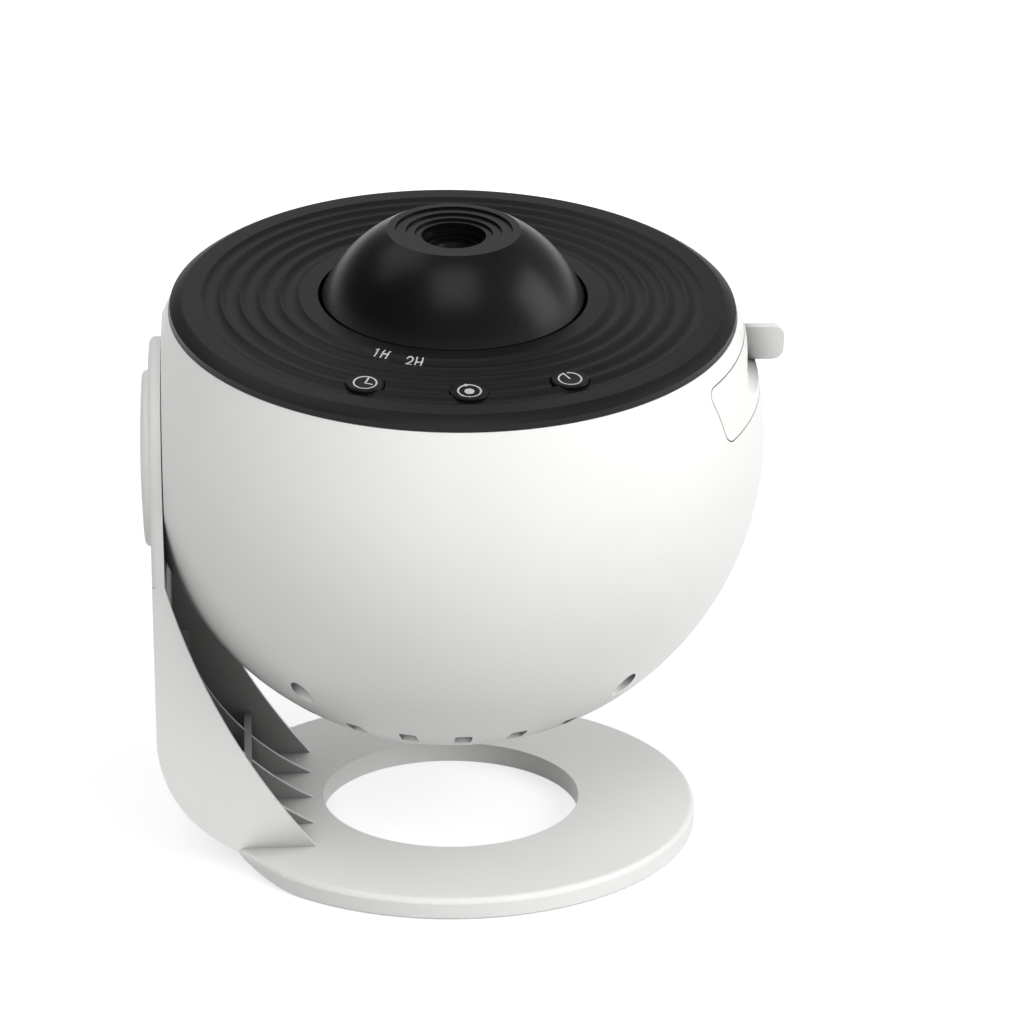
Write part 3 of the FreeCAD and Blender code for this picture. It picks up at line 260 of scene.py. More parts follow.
@dataclass(frozen=True)
class WorkedMetal:
    """Bare or plated metal whose surface keeps the lines of the rolling, turning or extrusion.

    The eye gets a sheen that is streaked along the lines. Real ones are a few hundredths of a
    millimetre apart, too fine to show, so they are drawn coarser.
    """

    name: str
    colour: str
    roughness: float
    lay: Lay = Lay.EVEN
    line_mm: float = 1.2
    depth_mm: float = 0.004
    roughness_share: float = 0.25

    def make(self) -> bpy.types.Material:
        """Builds the material.

        Returns:
            The finished material.
        """
        material, tree, output = fresh_material(self.name)
        place = add(tree, "ShaderNodeTexCoord").outputs["Object"]
        lined = add(tree, "ShaderNodeMapping", {"Vector": place, "Scale": self.lay.value})
        lines = add(tree, "ShaderNodeTexNoise", {"Vector": lined.outputs["Vector"],
                                                 "Scale": 1 / (self.line_mm * MM), "Detail": 3.0})
        gloss = add(tree, "ShaderNodeMapRange",
                    {"Value": lines.outputs["Fac"], "From Min": 0.3, "From Max": 0.7,
                     "To Min": self.roughness * (1 - self.roughness_share),
                     "To Max": self.roughness * (1 + self.roughness_share)})
        bump = add(tree, "ShaderNodeBump", {"Height": lines.outputs["Fac"],
                                            "Distance": self.depth_mm * MM})
        shader = add(tree, "ShaderNodeBsdfPrincipled",
                     {"Base Color": linear(self.colour), "Metallic": 1.0,
                      "Roughness": gloss.outputs["Result"], "Normal": bump.outputs["Normal"]})
        tree.links.new(shader.outputs["BSDF"], output.inputs["Surface"])
        return material


@dataclass(frozen=True)
class GroundGlass:
    """Ground and polished optical glass under a thin blue-violet coating, with a little dust."""

    name: str
    colour: str = "#F4F7FA"
    coating: str = "#8FA0E8"
    coating_weight: float = 0.6
    coating_roughness: float = 0.03
    dust_mm: float = 1.5
    ior: float = 1.52

    def make(self) -> bpy.types.Material:
        """Builds the material.

        Returns:
            The finished material.
        """
        material, tree, output = fresh_material(self.name)
        place = add(tree, "ShaderNodeTexCoord").outputs["Object"]
        dust = add(tree, "ShaderNodeTexNoise", {"Vector": place, "Scale": 1 / (self.dust_mm * MM),
                                                "Detail": 4.0})
        haze = add(tree, "ShaderNodeMapRange", {"Value": dust.outputs["Fac"], "From Min": 0.5,
                                                "From Max": 0.8, "To Min": 0.02, "To Max": 0.10})
        glass = add(tree, "ShaderNodeBsdfPrincipled",
                    {"Base Color": linear(self.colour), "Roughness": haze.outputs["Result"],
                     "Transmission Weight": 1.0, "IOR": self.ior,
                     "Coat Weight": self.coating_weight, "Coat Roughness": self.coating_roughness,
                     "Coat Tint": linear(self.coating)})
        tree.links.new(glass.outputs["BSDF"], output.inputs["Surface"])
        return material


@dataclass(frozen=True)
class StarFilm:
    """Clear polyester disc printed dense blue-black, with bare pinholes for the stars.

    Real pinholes are a few hundredths of a millimetre wide, too fine to show, so they are drawn
    some ten times as large.
    """

    name: str
    ink: str = "#070A1C"
    haze: str = "#28346B"
    star: str = "#F4F2E6"
    spacing_mm: float = 1.6
    haze_mm: float = 14.0
    roughness: float = 0.12
    ior: float = 1.57

    def make(self) -> bpy.types.Material:
        """Builds the material.

        Returns:
            The finished material.
        """
        material, tree, output = fresh_material(self.name)
        place = add(tree, "ShaderNodeTexCoord").outputs["Object"]
        cells = add(tree, "ShaderNodeTexVoronoi", {"Vector": place,
                                                   "Scale": 1 / (self.spacing_mm * MM),
                                                   "Randomness": 1.0})
        sizes = add(tree, "ShaderNodeMapRange", {"Value": cells.outputs["Color"], "From Min": 0.0,
                                                 "From Max": 1.0, "To Min": 0.02, "To Max": 0.13})
        stars = add(tree, "ShaderNodeMath", {0: cells.outputs["Distance"],
                                             1: sizes.outputs["Result"]}, operation="LESS_THAN")
        cloud = add(tree, "ShaderNodeTexNoise", {"Vector": place, "Scale": 1 / (self.haze_mm * MM),
                                                 "Detail": 5.0})
        band = add(tree, "ShaderNodeMapRange", {"Value": cloud.outputs["Fac"], "From Min": 0.45,
                                                "From Max": 0.75})
        sky = add(tree, "ShaderNodeMix", {"Factor": band.outputs["Result"], "A": linear(self.ink),
                                          "B": linear(self.haze)}, data_type="RGBA")
        printed = add(tree, "ShaderNodeMix", {"Factor": stars.outputs["Value"],
                                              "A": sky.outputs["Result"], "B": linear(self.star)},
                      data_type="RGBA")
        shader = add(tree, "ShaderNodeBsdfPrincipled",
                     {"Base Color": printed.outputs["Result"], "Roughness": self.roughness,
                      "IOR": self.ior})
        tree.links.new(shader.outputs["BSDF"], output.inputs["Surface"])
        return material


@dataclass(frozen=True)
class SolderMask:
    """Green lacquer over etched copper: the tracks stand a little proud and paler."""

    name: str
    colour: str = "#0E4A26"
    track: str = "#1B6A3B"
    pitch_mm: float = 1.27
    pitches_a_brick: int = 4
    track_height_mm: float = 0.03
    roughness: float = 0.3
    gloss_coat: float = 0.4

    def make(self) -> bpy.types.Material:
        """Builds the material.

        Returns:
            The finished material.
        """
        material, tree, output = fresh_material(self.name)
        place = add(tree, "ShaderNodeTexCoord").outputs["Object"]
        brick_mm = self.pitches_a_brick * self.pitch_mm
        black, white = (0, 0, 0, 1), (1, 1, 1, 1)
        tracks = add(tree, "ShaderNodeTexBrick",
                     {"Vector": place, "Scale": 1 / (brick_mm * MM), "Mortar Size": 0.03,
                      "Mortar Smooth": 0.2, "Color1": black, "Color2": black, "Mortar": white})
        colour = add(tree, "ShaderNodeMix", {"Factor": tracks.outputs["Color"],
                                             "A": linear(self.colour), "B": linear(self.track)},
                     data_type="RGBA")
        bump = add(tree, "ShaderNodeBump", {"Height": tracks.outputs["Color"],
                                            "Distance": self.track_height_mm * MM})
        shader = add(tree, "ShaderNodeBsdfPrincipled",
                     {"Base Color": colour.outputs["Result"], "Roughness": self.roughness,
                      "Normal": bump.outputs["Normal"], "IOR": PLASTIC_IOR,
                      "Coat Weight": self.gloss_coat})
        tree.links.new(shader.outputs["BSDF"], output.inputs["Surface"])
        return material


@dataclass(frozen=True)
class ScreenInk:
    """Screen-printed ink: a flat opaque film whose tone is faintly speckled by the mesh."""

    name: str
    colour: str = "#CFCFCC"
    speck_mm: float = 0.12
    thinnest: float = 0.82
    roughness: float = 0.5

    def make(self) -> bpy.types.Material:
        """Builds the material.

        Returns:
            The finished material.
        """
        material, tree, output = fresh_material(self.name)
        place = add(tree, "ShaderNodeTexCoord").outputs["Object"]
        specks = add(tree, "ShaderNodeTexNoise", {"Vector": place, "Scale": 1 / (self.speck_mm * MM),
                                                  "Detail": 2.0})
        tone = add(tree, "ShaderNodeMapRange", {"Value": specks.outputs["Fac"], "From Min": 0.3,
                                                "From Max": 0.7, "To Min": self.thinnest,
                                                "To Max": 1.0})
        colour = add(tree, "ShaderNodeVectorMath", {0: linear(self.colour)[:3],
                                                    "Scale": tone.outputs["Result"]},
                     operation="SCALE")
        shader = add(tree, "ShaderNodeBsdfPrincipled", {"Base Color": colour.outputs["Vector"],
                                                        "Roughness": self.roughness,
                                                        "IOR": PLASTIC_IOR})
        tree.links.new(shader.outputs["BSDF"], output.inputs["Surface"])
        return material


class Finish(Enum):
    """Every finish on the projector, each built once."""

    # An even satin that rolls off round the ball, almost without grain, with painted shade greying its
    # hollows, seams and the side near the arm.
    WHITE_SHELL = MouldedPlastic("satin_moulded_white_abs", "#F4F4F2", 0.36, grain_mm=0.5,
                                 grain_depth_mm=0.003, cloud=0.008,
                                 painted_shades=(PaintedShade(30.0, 0.25, 0.3, 0.92, own_piece=False),
                                        PaintedShade(9.0, 0.45, 0.35, 0.85, own_piece=False),
                                        PaintedShade(2.5, 0.3, 0.15, 0.8)))
    # A little duller and greyer than the ball, so arm and ring stand back from it, with painted shade
    # in the arm's channel, ribs and recesses.
    WHITE_STAND = MouldedPlastic("fine_texture_moulded_white_abs", "#EFEFED", 0.42, grain_mm=0.4,
                                 grain_depth_mm=0.005, cloud=0.01,
                                 painted_shades=(PaintedShade(45.0, 0.3, 0.35, 0.8), PaintedShade(2.5, 0.5, 0.2, 0.6)))
    # Charcoal with a broad dull highlight that draws each scallop.
    BLACK_COVER = MouldedPlastic("spark_eroded_black_abs", "#161617", 0.40, grain_mm=0.28,
                                 grain_depth_mm=0.004, cloud=0.06, roughness_spread=0.05,
                                 specular=0.28)
    # A deeper black, smooth enough for soft round highlights.
    BLACK_DOME = MouldedPlastic("satin_moulded_black_abs", "#0C0C0D", 0.30, grain_mm=0.4,
                                grain_depth_mm=0.002, cloud=0.04, specular=0.3)
    # Darker and finer than the cover, so that each button shows as its own piece.
    BLACK_BUTTON = MouldedPlastic("fine_moulded_black_abs", "#0E0E0F", 0.38, grain_mm=0.25,
                                  grain_depth_mm=0.003, cloud=0.04, specular=0.28)
    # Flat black with no sheen, which swallows stray light inside the ball.
    BLACK_INSIDE = MouldedPlastic("matt_moulded_black_abs", "#161616", 0.6, grain_mm=0.4)
    # Plain dark grey, a little waxy.
    SLIP_RING = MouldedPlastic("turned_grey_acetal", "#4A4A4A", 0.45, grain_mm=0.6)
    # The warm off-white of unpainted gear wheels.
    GEAR_WHITE = MouldedPlastic("moulded_natural_acetal", "#E4E2DA", 0.35, grain_mm=0.8)
    # Cream plug headers, duller than the gears.
    CREAM_NYLON = MouldedPlastic("moulded_cream_nylon", "#DDD3B4", 0.45)
    # The strong yellow of an unlit emitter under a glossy gel.
    EMITTER = MouldedPlastic("yellow_phosphor_silicone", "#E8C64A", 0.25, grain_mm=0.2)
    # Dull near-black, a shade paler where dust sits.
    RUBBER = MouldedRubber("compression_moulded_black_rubber", "#232323")
    # Bright cool grey, evenly brushed by the plating.
    PLATED_STEEL = WorkedMetal("zinc_plated_steel", "#B9BBBE", 0.32)
    # Warmer and shinier than the screws, with fine lines across.
    MOTOR_CAN = WorkedMetal("drawn_nickel_plated_steel", "#C2C2BF", 0.28, Lay.ACROSS)
    # Pale silver with long lines from the die.
    BARE_ALUMINIUM = WorkedMetal("extruded_bare_aluminium", "#CDCFD2", 0.35, Lay.ALONG)
    # Clear, with a blue-violet glint.
    LENS_GLASS = GroundGlass("coated_optical_glass")
    # A glossy night sky.
    FILM = StarFilm("printed_polyester_star_film")
    # Deep green, with paler lines just under the lacquer.
    BOARD = SolderMask("green_solder_mask_on_copper")
    # A soft white that never quite reaches paper white.
    INK = ScreenInk("white_screen_ink")

    def material(self) -> bpy.types.Material:
        """The finish's material, made on first use."""
        found = bpy.data.materials.get(self.value.name)
        return found or self.value.make()


def dress(node: str, finish: Finish) -> None:
    """Puts a finish on a CAD node's own mesh.

    Args:
        node: the CAD node's name.
        finish: the finish it takes.
    """
    mesh = frame["nodes"][node].data
    mesh.materials.clear()
    mesh.materials.append(finish.material())
    log.info("dressed %s in %s", node, finish.value.name)


# ---------------------------------------------------------------- the head's own axes


class HeadAxes:
    """The tilted head's axes: origin at the ball's centre, Z along the lens, X towards the drawer."""

    def __init__(self) -> None:
        """Reads the centre and the tilt from the dome's joint."""
        joint = next(j for j in frame["joints"] if j["name"] == "focus_turn")
        self.centre = np.array(joint["pos_m"])
        tilt = math.atan2(-joint["axis"][1], joint["axis"][2])
        cos, sin = math.cos(tilt), math.sin(tilt)
        self.turn = np.array([[1, 0, 0], [0, cos, -sin], [0, sin, cos]])

    def out(self, points: np.ndarray) -> np.ndarray:
        """Carries points from the head's axes, in millimetres, to the row frame in metres."""
        return points * MM @ self.turn.T + self.centre

    def span(self, node: str) -> tuple[np.ndarray, np.ndarray]:
        """Measures a CAD node along the head's axes.

        Args:
            node: the CAD node's name.

        Returns:
            Its lowest and highest corner in the head's axes, in millimetres.
        """
        mesh = frame["nodes"][node].data
        flat = np.empty(len(mesh.vertices) * 3, dtype=np.float32)
        mesh.vertices.foreach_get("co", flat)
        local = (flat.reshape(-1, 3).astype(float) - self.centre) @ self.turn / MM
        return local.min(0), local.max(0)


# ---------------------------------------------------------------- surfaces on a grid


def surface(name: str, grid: np.ndarray, closed_u: bool, finish: Finish, body: str) -> bpy.types.Object:
    """Makes a piece from a grid of points and lets it ride on a body.

    Neighbouring grid points make four-sided faces. Each row closes on itself, and rows that shrink
    to a point are merged into a pole.

    Args:
        name: the piece's name.
        grid: points in the row frame, in metres, shaped (rows, columns, 3).
        closed_u: whether the last row is joined to the first.
        finish: the finish it takes.
        body: the CAD body that carries it.

    Returns:
        The new object.
    """
    rows, columns = grid.shape[:2]
    index = np.arange(rows * columns).reshape(rows, columns)
    if closed_u:
        index = np.vstack([index, index[:1]])
    index = np.hstack([index, index[:, :1]])
    quads = np.stack([index[:-1, :-1], index[1:, :-1], index[1:, 1:], index[:-1, 1:]], axis=-1)
    mesh = bpy.data.meshes.new(name)
    mesh.from_pydata(grid.reshape(-1, 3).tolist(), [], quads.reshape(-1, 4).tolist())
    work = bmesh.new()
    work.from_mesh(mesh)
    bmesh.ops.remove_doubles(work, verts=work.verts, dist=MERGE_DISTANCE)
    bmesh.ops.recalc_face_normals(work, faces=work.faces)
    work.to_mesh(mesh)
    work.free()
    mesh.shade_smooth()
    mesh.materials.append(finish.material())
    piece = bpy.data.objects.new(name, mesh)
    bpy.context.scene.collection.objects.link(piece)
    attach(piece, body)
    log.info("made %s, %d points", name, rows * columns)
    return piece


Height = Callable[[np.ndarray, np.ndarray], np.ndarray]


def circle(radius: float, centre: Sequence[float] = (0.0, 0.0), start: float = 0.0,
           sweep: float = 360.0, count: int = 73) -> np.ndarray:
    """Points on an arc: centre + radius (cos a, sin a), a running through sweep degrees from start.

    Args:
        radius: the arc's radius.
        centre: its centre.
        start: its first angle in degrees.
        sweep: the angle that it runs through in degrees; 360 gives a circle with no repeated point.
        count: how many points.

    Returns:
        The points, shaped (count, 2).
    """
    angle = np.radians(start + np.linspace(0, sweep, count, endpoint=abs(sweep) < 360))
    return np.stack([centre[0] + radius * np.cos(angle), centre[1] + radius * np.sin(angle)], axis=1)


@dataclass(frozen=True)
class Print:
    """Ink laid on a surface as strokes with rounded ends, and as round spots."""

    stroke_mm: float
    proud_mm: float = 0.03
    sunk_mm: float = 0.02
    spot_height_mm: float = 0.035
    spot_sunk_mm: float = 0.01
    around: int = 10
    along: int = 40
    end_rows: int = 5
    spot_rows: int = 9
    spot_columns: int = 40

    def stroke(self, path: np.ndarray, closed: bool, height: Height) -> np.ndarray:
        """Carries a flattened oval along a path that lies on a surface.

        At path point p with unit side vector s, the oval is p + s (w / 2) cos(a) across and
        height(x, y) + t sin(a) up, where t is the film's proud or sunk depth. At an open end the
        path goes on by (w / 2) cos(b) while the width is w sin(b), b falling from a right angle
        to 0, which rounds the end.

        Args:
            path: points in millimetres in the head's x and y, shaped (n, 2).
            closed: whether the path closes on itself.
            height: gives the carrying surface's z in millimetres at x and y.

        Returns:
            A grid of points in millimetres in the head's axes.
        """
        path = self.even(path, closed)
        if closed:
            ahead, behind = np.roll(path, -1, 0), np.roll(path, 1, 0)
            width = np.full(len(path), self.stroke_mm)
        else:
            path, width = self.rounded(path)
            ahead = np.vstack([path[1:], path[-1:]])
            behind = np.vstack([path[:1], path[:-1]])
        along = ahead - behind
        along /= np.linalg.norm(along, axis=1)[:, None]
        side = np.stack([-along[:, 1], along[:, 0]], axis=1)
        angle = np.linspace(0, 2 * math.pi, self.around, endpoint=False)
        across = width[:, None] / 2 * np.cos(angle)[None, :]
        x = path[:, :1] + side[:, :1] * across
        y = path[:, 1:] + side[:, 1:] * across
        rise = np.where(np.sin(angle) > 0, self.proud_mm, self.sunk_mm) * np.sin(angle)
        z = height(x, y) + rise[None, :] * (width / self.stroke_mm)[:, None]
        return np.stack([x, y, z], axis=-1)

    def rounded(self, path: np.ndarray) -> tuple[np.ndarray, np.ndarray]:
        """Adds the rows of points that round an open path's two ends.

        Args:
            path: evenly spaced points in millimetres, shaped (n, 2).

        Returns:
            The longer path, and the stroke's width in millimetres at each of its points.
        """
        first, last = path[0], path[-1]
        start, end = path[1] - first, last - path[-2]
        reach = self.stroke_mm / 2
        turn = np.linspace(0, math.pi / 2, self.end_rows + 1)[:-1]
        head = first - np.outer(reach * np.cos(turn), start / np.linalg.norm(start))
        tail = last + np.outer(reach * np.cos(turn[::-1]), end / np.linalg.norm(end))
        share = np.concatenate([np.sin(turn), np.ones(len(path)), np.sin(turn[::-1])])
        return np.vstack([head, path, tail]), share * self.stroke_mm

    def even(self, path: np.ndarray, closed: bool) -> np.ndarray:
        """Spaces a path's points evenly along its length.

        Args:
            path: points shaped (n, 2).
            closed: whether the path closes on itself.

        Returns:
            As many points as the print has along a stroke.
        """
        points = np.vstack([path, path[:1]]) if closed else path
        steps = np.linalg.norm(np.diff(points, axis=0), axis=1)
        length = np.concatenate([[0], np.cumsum(steps)])
        at = np.linspace(0, length[-1], self.along, endpoint=not closed)
        return np.stack([np.interp(at, length, points[:, i]) for i in (0, 1)], axis=1)

    def spot(self, radius: float, centre: np.ndarray, oval: float, height: Height) -> np.ndarray:
        """Lays a low dome of ink: r = R sin(b), z = surface + h cos(b), b from 0 to a right angle.

        Args:
            radius: the spot's radius across, in millimetres.
            centre: its centre in the head's x and y.
            oval: how much longer it is up the sign than across.
            height: gives the carrying surface's z in millimetres at x and y.

        Returns:
            A grid of points in millimetres in the head's axes.
        """
        lift = np.linspace(0, math.pi / 2, self.spot_rows)
        angle = np.linspace(0, 2 * math.pi, self.spot_columns, endpoint=False)
        r = radius * np.sin(lift)[:, None]
        x = centre[0] + r * np.cos(angle)[None, :]
        y = centre[1] + oval * r * np.sin(angle)[None, :]
        z = height(x, y) + self.spot_height_mm * np.cos(lift)[:, None] - self.spot_sunk_mm
        return np.stack([x, y, z], axis=-1)


# ---------------------------------------------------------------- sub-assemblies


class Assembly:
    """A group of CAD nodes that are dressed together."""

    finishes: ClassVar[dict[str, Finish]] = {}

    def dress(self) -> None:
        """Dresses each of the group's nodes in its finish."""
        for node, finish in self.finishes.items():
            dress(node, finish)


class Stand(Assembly):
    """Base ring, swept arm, pads, slip ring and pivot cap."""

    finishes = {
        "stand_frame": Finish.WHITE_STAND,
        "pivot_cap": Finish.WHITE_STAND,
        "foot_pads": Finish.RUBBER,
        "friction_ring": Finish.SLIP_RING,
    }


class Ball(Assembly):
    """White ball shell with its pivot hardware and case screws."""

    finishes = {
        "bowl_shell": Finish.WHITE_SHELL,
        "pivot_washer": Finish.PLATED_STEEL,
        "pivot_screw": Finish.PLATED_STEEL,
        "case_screws": Finish.PLATED_STEEL,
    }


@dataclass
class Cover(Assembly):
    """Black scalloped cover with the timer's two hour marks printed on it.

    A mark is its word, the angle round the cover at which it stands and its distance from the
    middle in millimetres.
    """

    finishes = {"top_cover": Finish.BLACK_COVER}

    axes: HeadAxes
    first_cusp_mm: float = 42.09
    scallop_pitch_mm: float = 3.265
    scallop_count: int = 5
    scallop_depth_mm: float = 0.55
    mark_height_mm: float = 1.75
    mark_width_mm: float = 0.95
    mark_gap_mm: float = 0.6
    mark_stroke_mm: float = 0.28
    marks: tuple[tuple[str, float, float], ...] = (("1H", -120.31, 26.05), ("2H", -107.42, 26.65))

    def height(self, x: np.ndarray, y: np.ndarray) -> np.ndarray:
        """The cover's top: flat, less a parabola between each pair of cusps.

        Args:
            x: places towards the drawer in the head's axes, in millimetres.
            y: places towards the back in the head's axes, in millimetres.

        Returns:
            The top's z in the head's axes, in millimetres.
        """
        _, high = self.axes.span("top_cover")
        inward = (self.first_cusp_mm - np.hypot(x, y)) / self.scallop_pitch_mm
        share = inward - np.floor(inward)
        dip = 4 * self.scallop_depth_mm * share * (1 - share)
        return high[2] - np.where((inward > 0) & (inward < self.scallop_count), dip, 0.0)

    def glyph(self, letter: str) -> list[np.ndarray]:
        """Draws one plain character in a cell that is 1 wide and 1 high.

        Args:
            letter: 1, 2 or H.

        Returns:
            Its strokes, each a path of points shaped (n, 2).
        """
        if letter == "1":
            return [np.array([[0.15, 0.78], [0.55, 1.0], [0.55, 0.0]])]
        if letter == "2":
            bowl = circle(0.5, (0.5, 0.0), 165, -205, 16) * [1.0, 0.56] + [0.0, 0.72]
            return [np.vstack([bowl, [[0.0, 0.0], [1.0, 0.0]]])]
        return [np.array([[0.0, 0.0], [0.0, 1.0]]), np.array([[1.0, 0.0], [1.0, 1.0]]),
                np.array([[0.0, 0.5], [1.0, 0.5]])]

    def build(self) -> None:
        """Prints the marks: each character stands on the tangent, its top towards the dome."""
        ink = Print(self.mark_stroke_mm, along=24, around=8)
        cell = self.mark_width_mm + self.mark_gap_mm
        for word, degrees, radius in self.marks:
            angle = math.radians(degrees)
            centre = radius * np.array([math.cos(angle), math.sin(angle)])
            right = np.array([-math.sin(angle), math.cos(angle)])
            up = -centre / radius
            for place, letter in enumerate(word):
                shift = (place - (len(word) - 1) / 2) * cell
                for number, path in enumerate(self.glyph(letter)):
                    flat = (path - 0.5) * [self.mark_width_mm, self.mark_height_mm]
                    laid = centre + np.outer(flat[:, 0] + shift, right) + np.outer(flat[:, 1], up)
                    grid = ink.stroke(laid, False, self.height)
                    surface(f"mark_{word}_{letter}_{number}", self.axes.out(grid), False, Finish.INK,
                            "head")


class Sign(Enum):
    """The plain pictograms on the buttons."""

    CLOCK = "timer"
    LIGHT = "mode"
    POWER = "power"

    def strokes(self, ring_mm: float) -> list[tuple[np.ndarray, bool]]:
        """Draws the sign's ring and the lines in it.

        Args:
            ring_mm: the ring's radius.

        Returns:
            Paths in millimetres about the button's centre, each with whether it closes on itself.
        """
        if self is Sign.CLOCK:
            return [(circle(ring_mm), True),
                    (np.array([[0.66, 1.45], [0.0, 0.0], [1.05, -0.5]]), False)]
        if self is Sign.POWER:
            return [(circle(ring_mm, start=96.0, sweep=-336.0), False),
                    (np.array([[-0.87, 1.62], [-0.03, 0.2]]), False)]
        return [(circle(ring_mm), True)]

    def spots(self) -> tuple[tuple[float, float, float], ...]:
        """The sign's round spots: x, y and radius in millimetres."""
        planets = ((0.0, 0.0, 0.85), (-0.43, 1.75, 0.32), (-1.25, -1.3, 0.26))
        return planets if self is Sign.LIGHT else ()


@dataclass
class Button:
    """One round button with a printed pictogram that follows its dished face."""

    axes: HeadAxes
    sign: Sign
    ring_mm: float = 1.8
    stroke_mm: float = 0.31
    oval: float = 1.18
    dish_mm: float = 0.16
    rim_mm: float = 2.75

    def face(self, centre: np.ndarray, top: float) -> Height:
        """Gives the dished face's height: top - d (1 - (r / R) squared).

        Args:
            centre: the button's centre in the head's x and y, in millimetres.
            top: its rim's z in the head's axes, in millimetres.

        Returns:
            A function of x and y that gives z.
        """
        def height(x: np.ndarray, y: np.ndarray) -> np.ndarray:
            """The face's z in millimetres at x and y."""
            share = np.hypot(x - centre[0], y - centre[1]) / self.rim_mm
            return top - self.dish_mm * (1 - np.minimum(share, 1.0) ** 2)

        return height

    def build(self) -> None:
        """Prints the ring and what stands in it."""
        name = self.sign.value
        low, high = self.axes.span(f"{name}_button")
        centre = (low[:2] + high[:2]) / 2
        height = self.face(centre, high[2])
        ink = Print(self.stroke_mm, along=72)
        for number, (path, closed) in enumerate(self.sign.strokes(self.ring_mm)):
            grid = ink.stroke(path * [1.0, self.oval] + centre, closed, height)
            surface(f"{name}_sign_{number}", self.axes.out(grid), closed, Finish.INK,
                    f"{name}_key")
        for number, (x, y, radius) in enumerate(self.sign.spots()):
            grid = ink.spot(radius, centre + [x, y * self.oval], self.oval, height)
            surface(f"{name}_dot_{number}", self.axes.out(grid), False, Finish.INK,
                    f"{name}_key")

    def dress(self) -> None:
        """Dresses the button."""
        dress(f"{self.sign.value}_button", Finish.BLACK_BUTTON)


class Optics(Assembly):
    """Focus dome, lens barrel and what is in it, and the plate that carries them."""

    finishes = {
        "focus_dome": Finish.BLACK_DOME,
        "lens_barrel": Finish.BLACK_DOME,
        "front_lens": Finish.LENS_GLASS,
        "rear_lens": Finish.LENS_GLASS,
        "lens_spacer": Finish.BLACK_INSIDE,
        "ring_nut": Finish.BLACK_INSIDE,
        "lens_mount": Finish.BLACK_INSIDE,
        "mount_screws": Finish.PLATED_STEEL,
    }


class FilmDrive(Assembly):
    """Drawer, film disc and the motor that turns it."""

    finishes = {
        "film_drawer": Finish.WHITE_SHELL,
        "film_ring": Finish.GEAR_WHITE,
        "star_film": Finish.FILM,
        "drive_pinion": Finish.GEAR_WHITE,
        "motor_shaft": Finish.PLATED_STEEL,
        "drive_motor": Finish.MOTOR_CAN,
        "motor_screws": Finish.PLATED_STEEL,
        "inner_frame": Finish.BLACK_INSIDE,
    }


class Electronics(Assembly):
    """Light source, condenser, boards, switches and inlet."""

    finishes = {
        "condenser_holder": Finish.BLACK_INSIDE,
        "condenser_lens": Finish.LENS_GLASS,
        "holder_screws": Finish.PLATED_STEEL,
        "light_source": Finish.EMITTER,
        "emitter_board": Finish.BARE_ALUMINIUM,
        "heat_sink": Finish.BARE_ALUMINIUM,
        "sink_screws": Finish.PLATED_STEEL,
        "main_board": Finish.BOARD,
        "board_screws": Finish.PLATED_STEEL,
        "wire_headers": Finish.CREAM_NYLON,
        "power_inlet": Finish.PLATED_STEEL,
        "button_board": Finish.BOARD,
        "button_board_screws": Finish.PLATED_STEEL,
        "tact_switches": Finish.BLACK_INSIDE,
    }


# ---------------------------------------------------------------- studio


@dataclass(frozen=True)
class Panel:
    """One soft lighting panel that faces the ball.

    The azimuth runs from the front towards the right, and the elevation up from level. A fill panel
    stands behind a polariser, so that it lights the object but isn't mirrored in it.
    """

    name: str
    azimuth_deg: float
    elevation_deg: float
    power_w: float
    fill: bool = False
    side_m: float = 0.6
    reach_m: float = 1.1

    def hang(self, centre: np.ndarray) -> None:
        """Hangs the panel.

        Args:
            centre: the point it faces, in metres.
        """
        data = bpy.data.lights.new(self.name, "AREA")
        data.shape = "SQUARE"
        data.size = self.side_m
        data.energy = self.power_w
        azimuth, elevation = math.radians(self.azimuth_deg), math.radians(self.elevation_deg)
        back = Vector((math.sin(azimuth) * math.cos(elevation),
                       -math.cos(azimuth) * math.cos(elevation), math.sin(elevation)))
        lamp = bpy.data.objects.new(self.name, data)
        lamp.rotation_mode = "QUATERNION"
        lamp.rotation_quaternion = (-back).to_track_quat("-Z", "Y")
        lamp.location = Vector(centre) + back * self.reach_m
        lamp.visible_glossy = not self.fill
        bpy.context.scene.collection.objects.link(lamp)


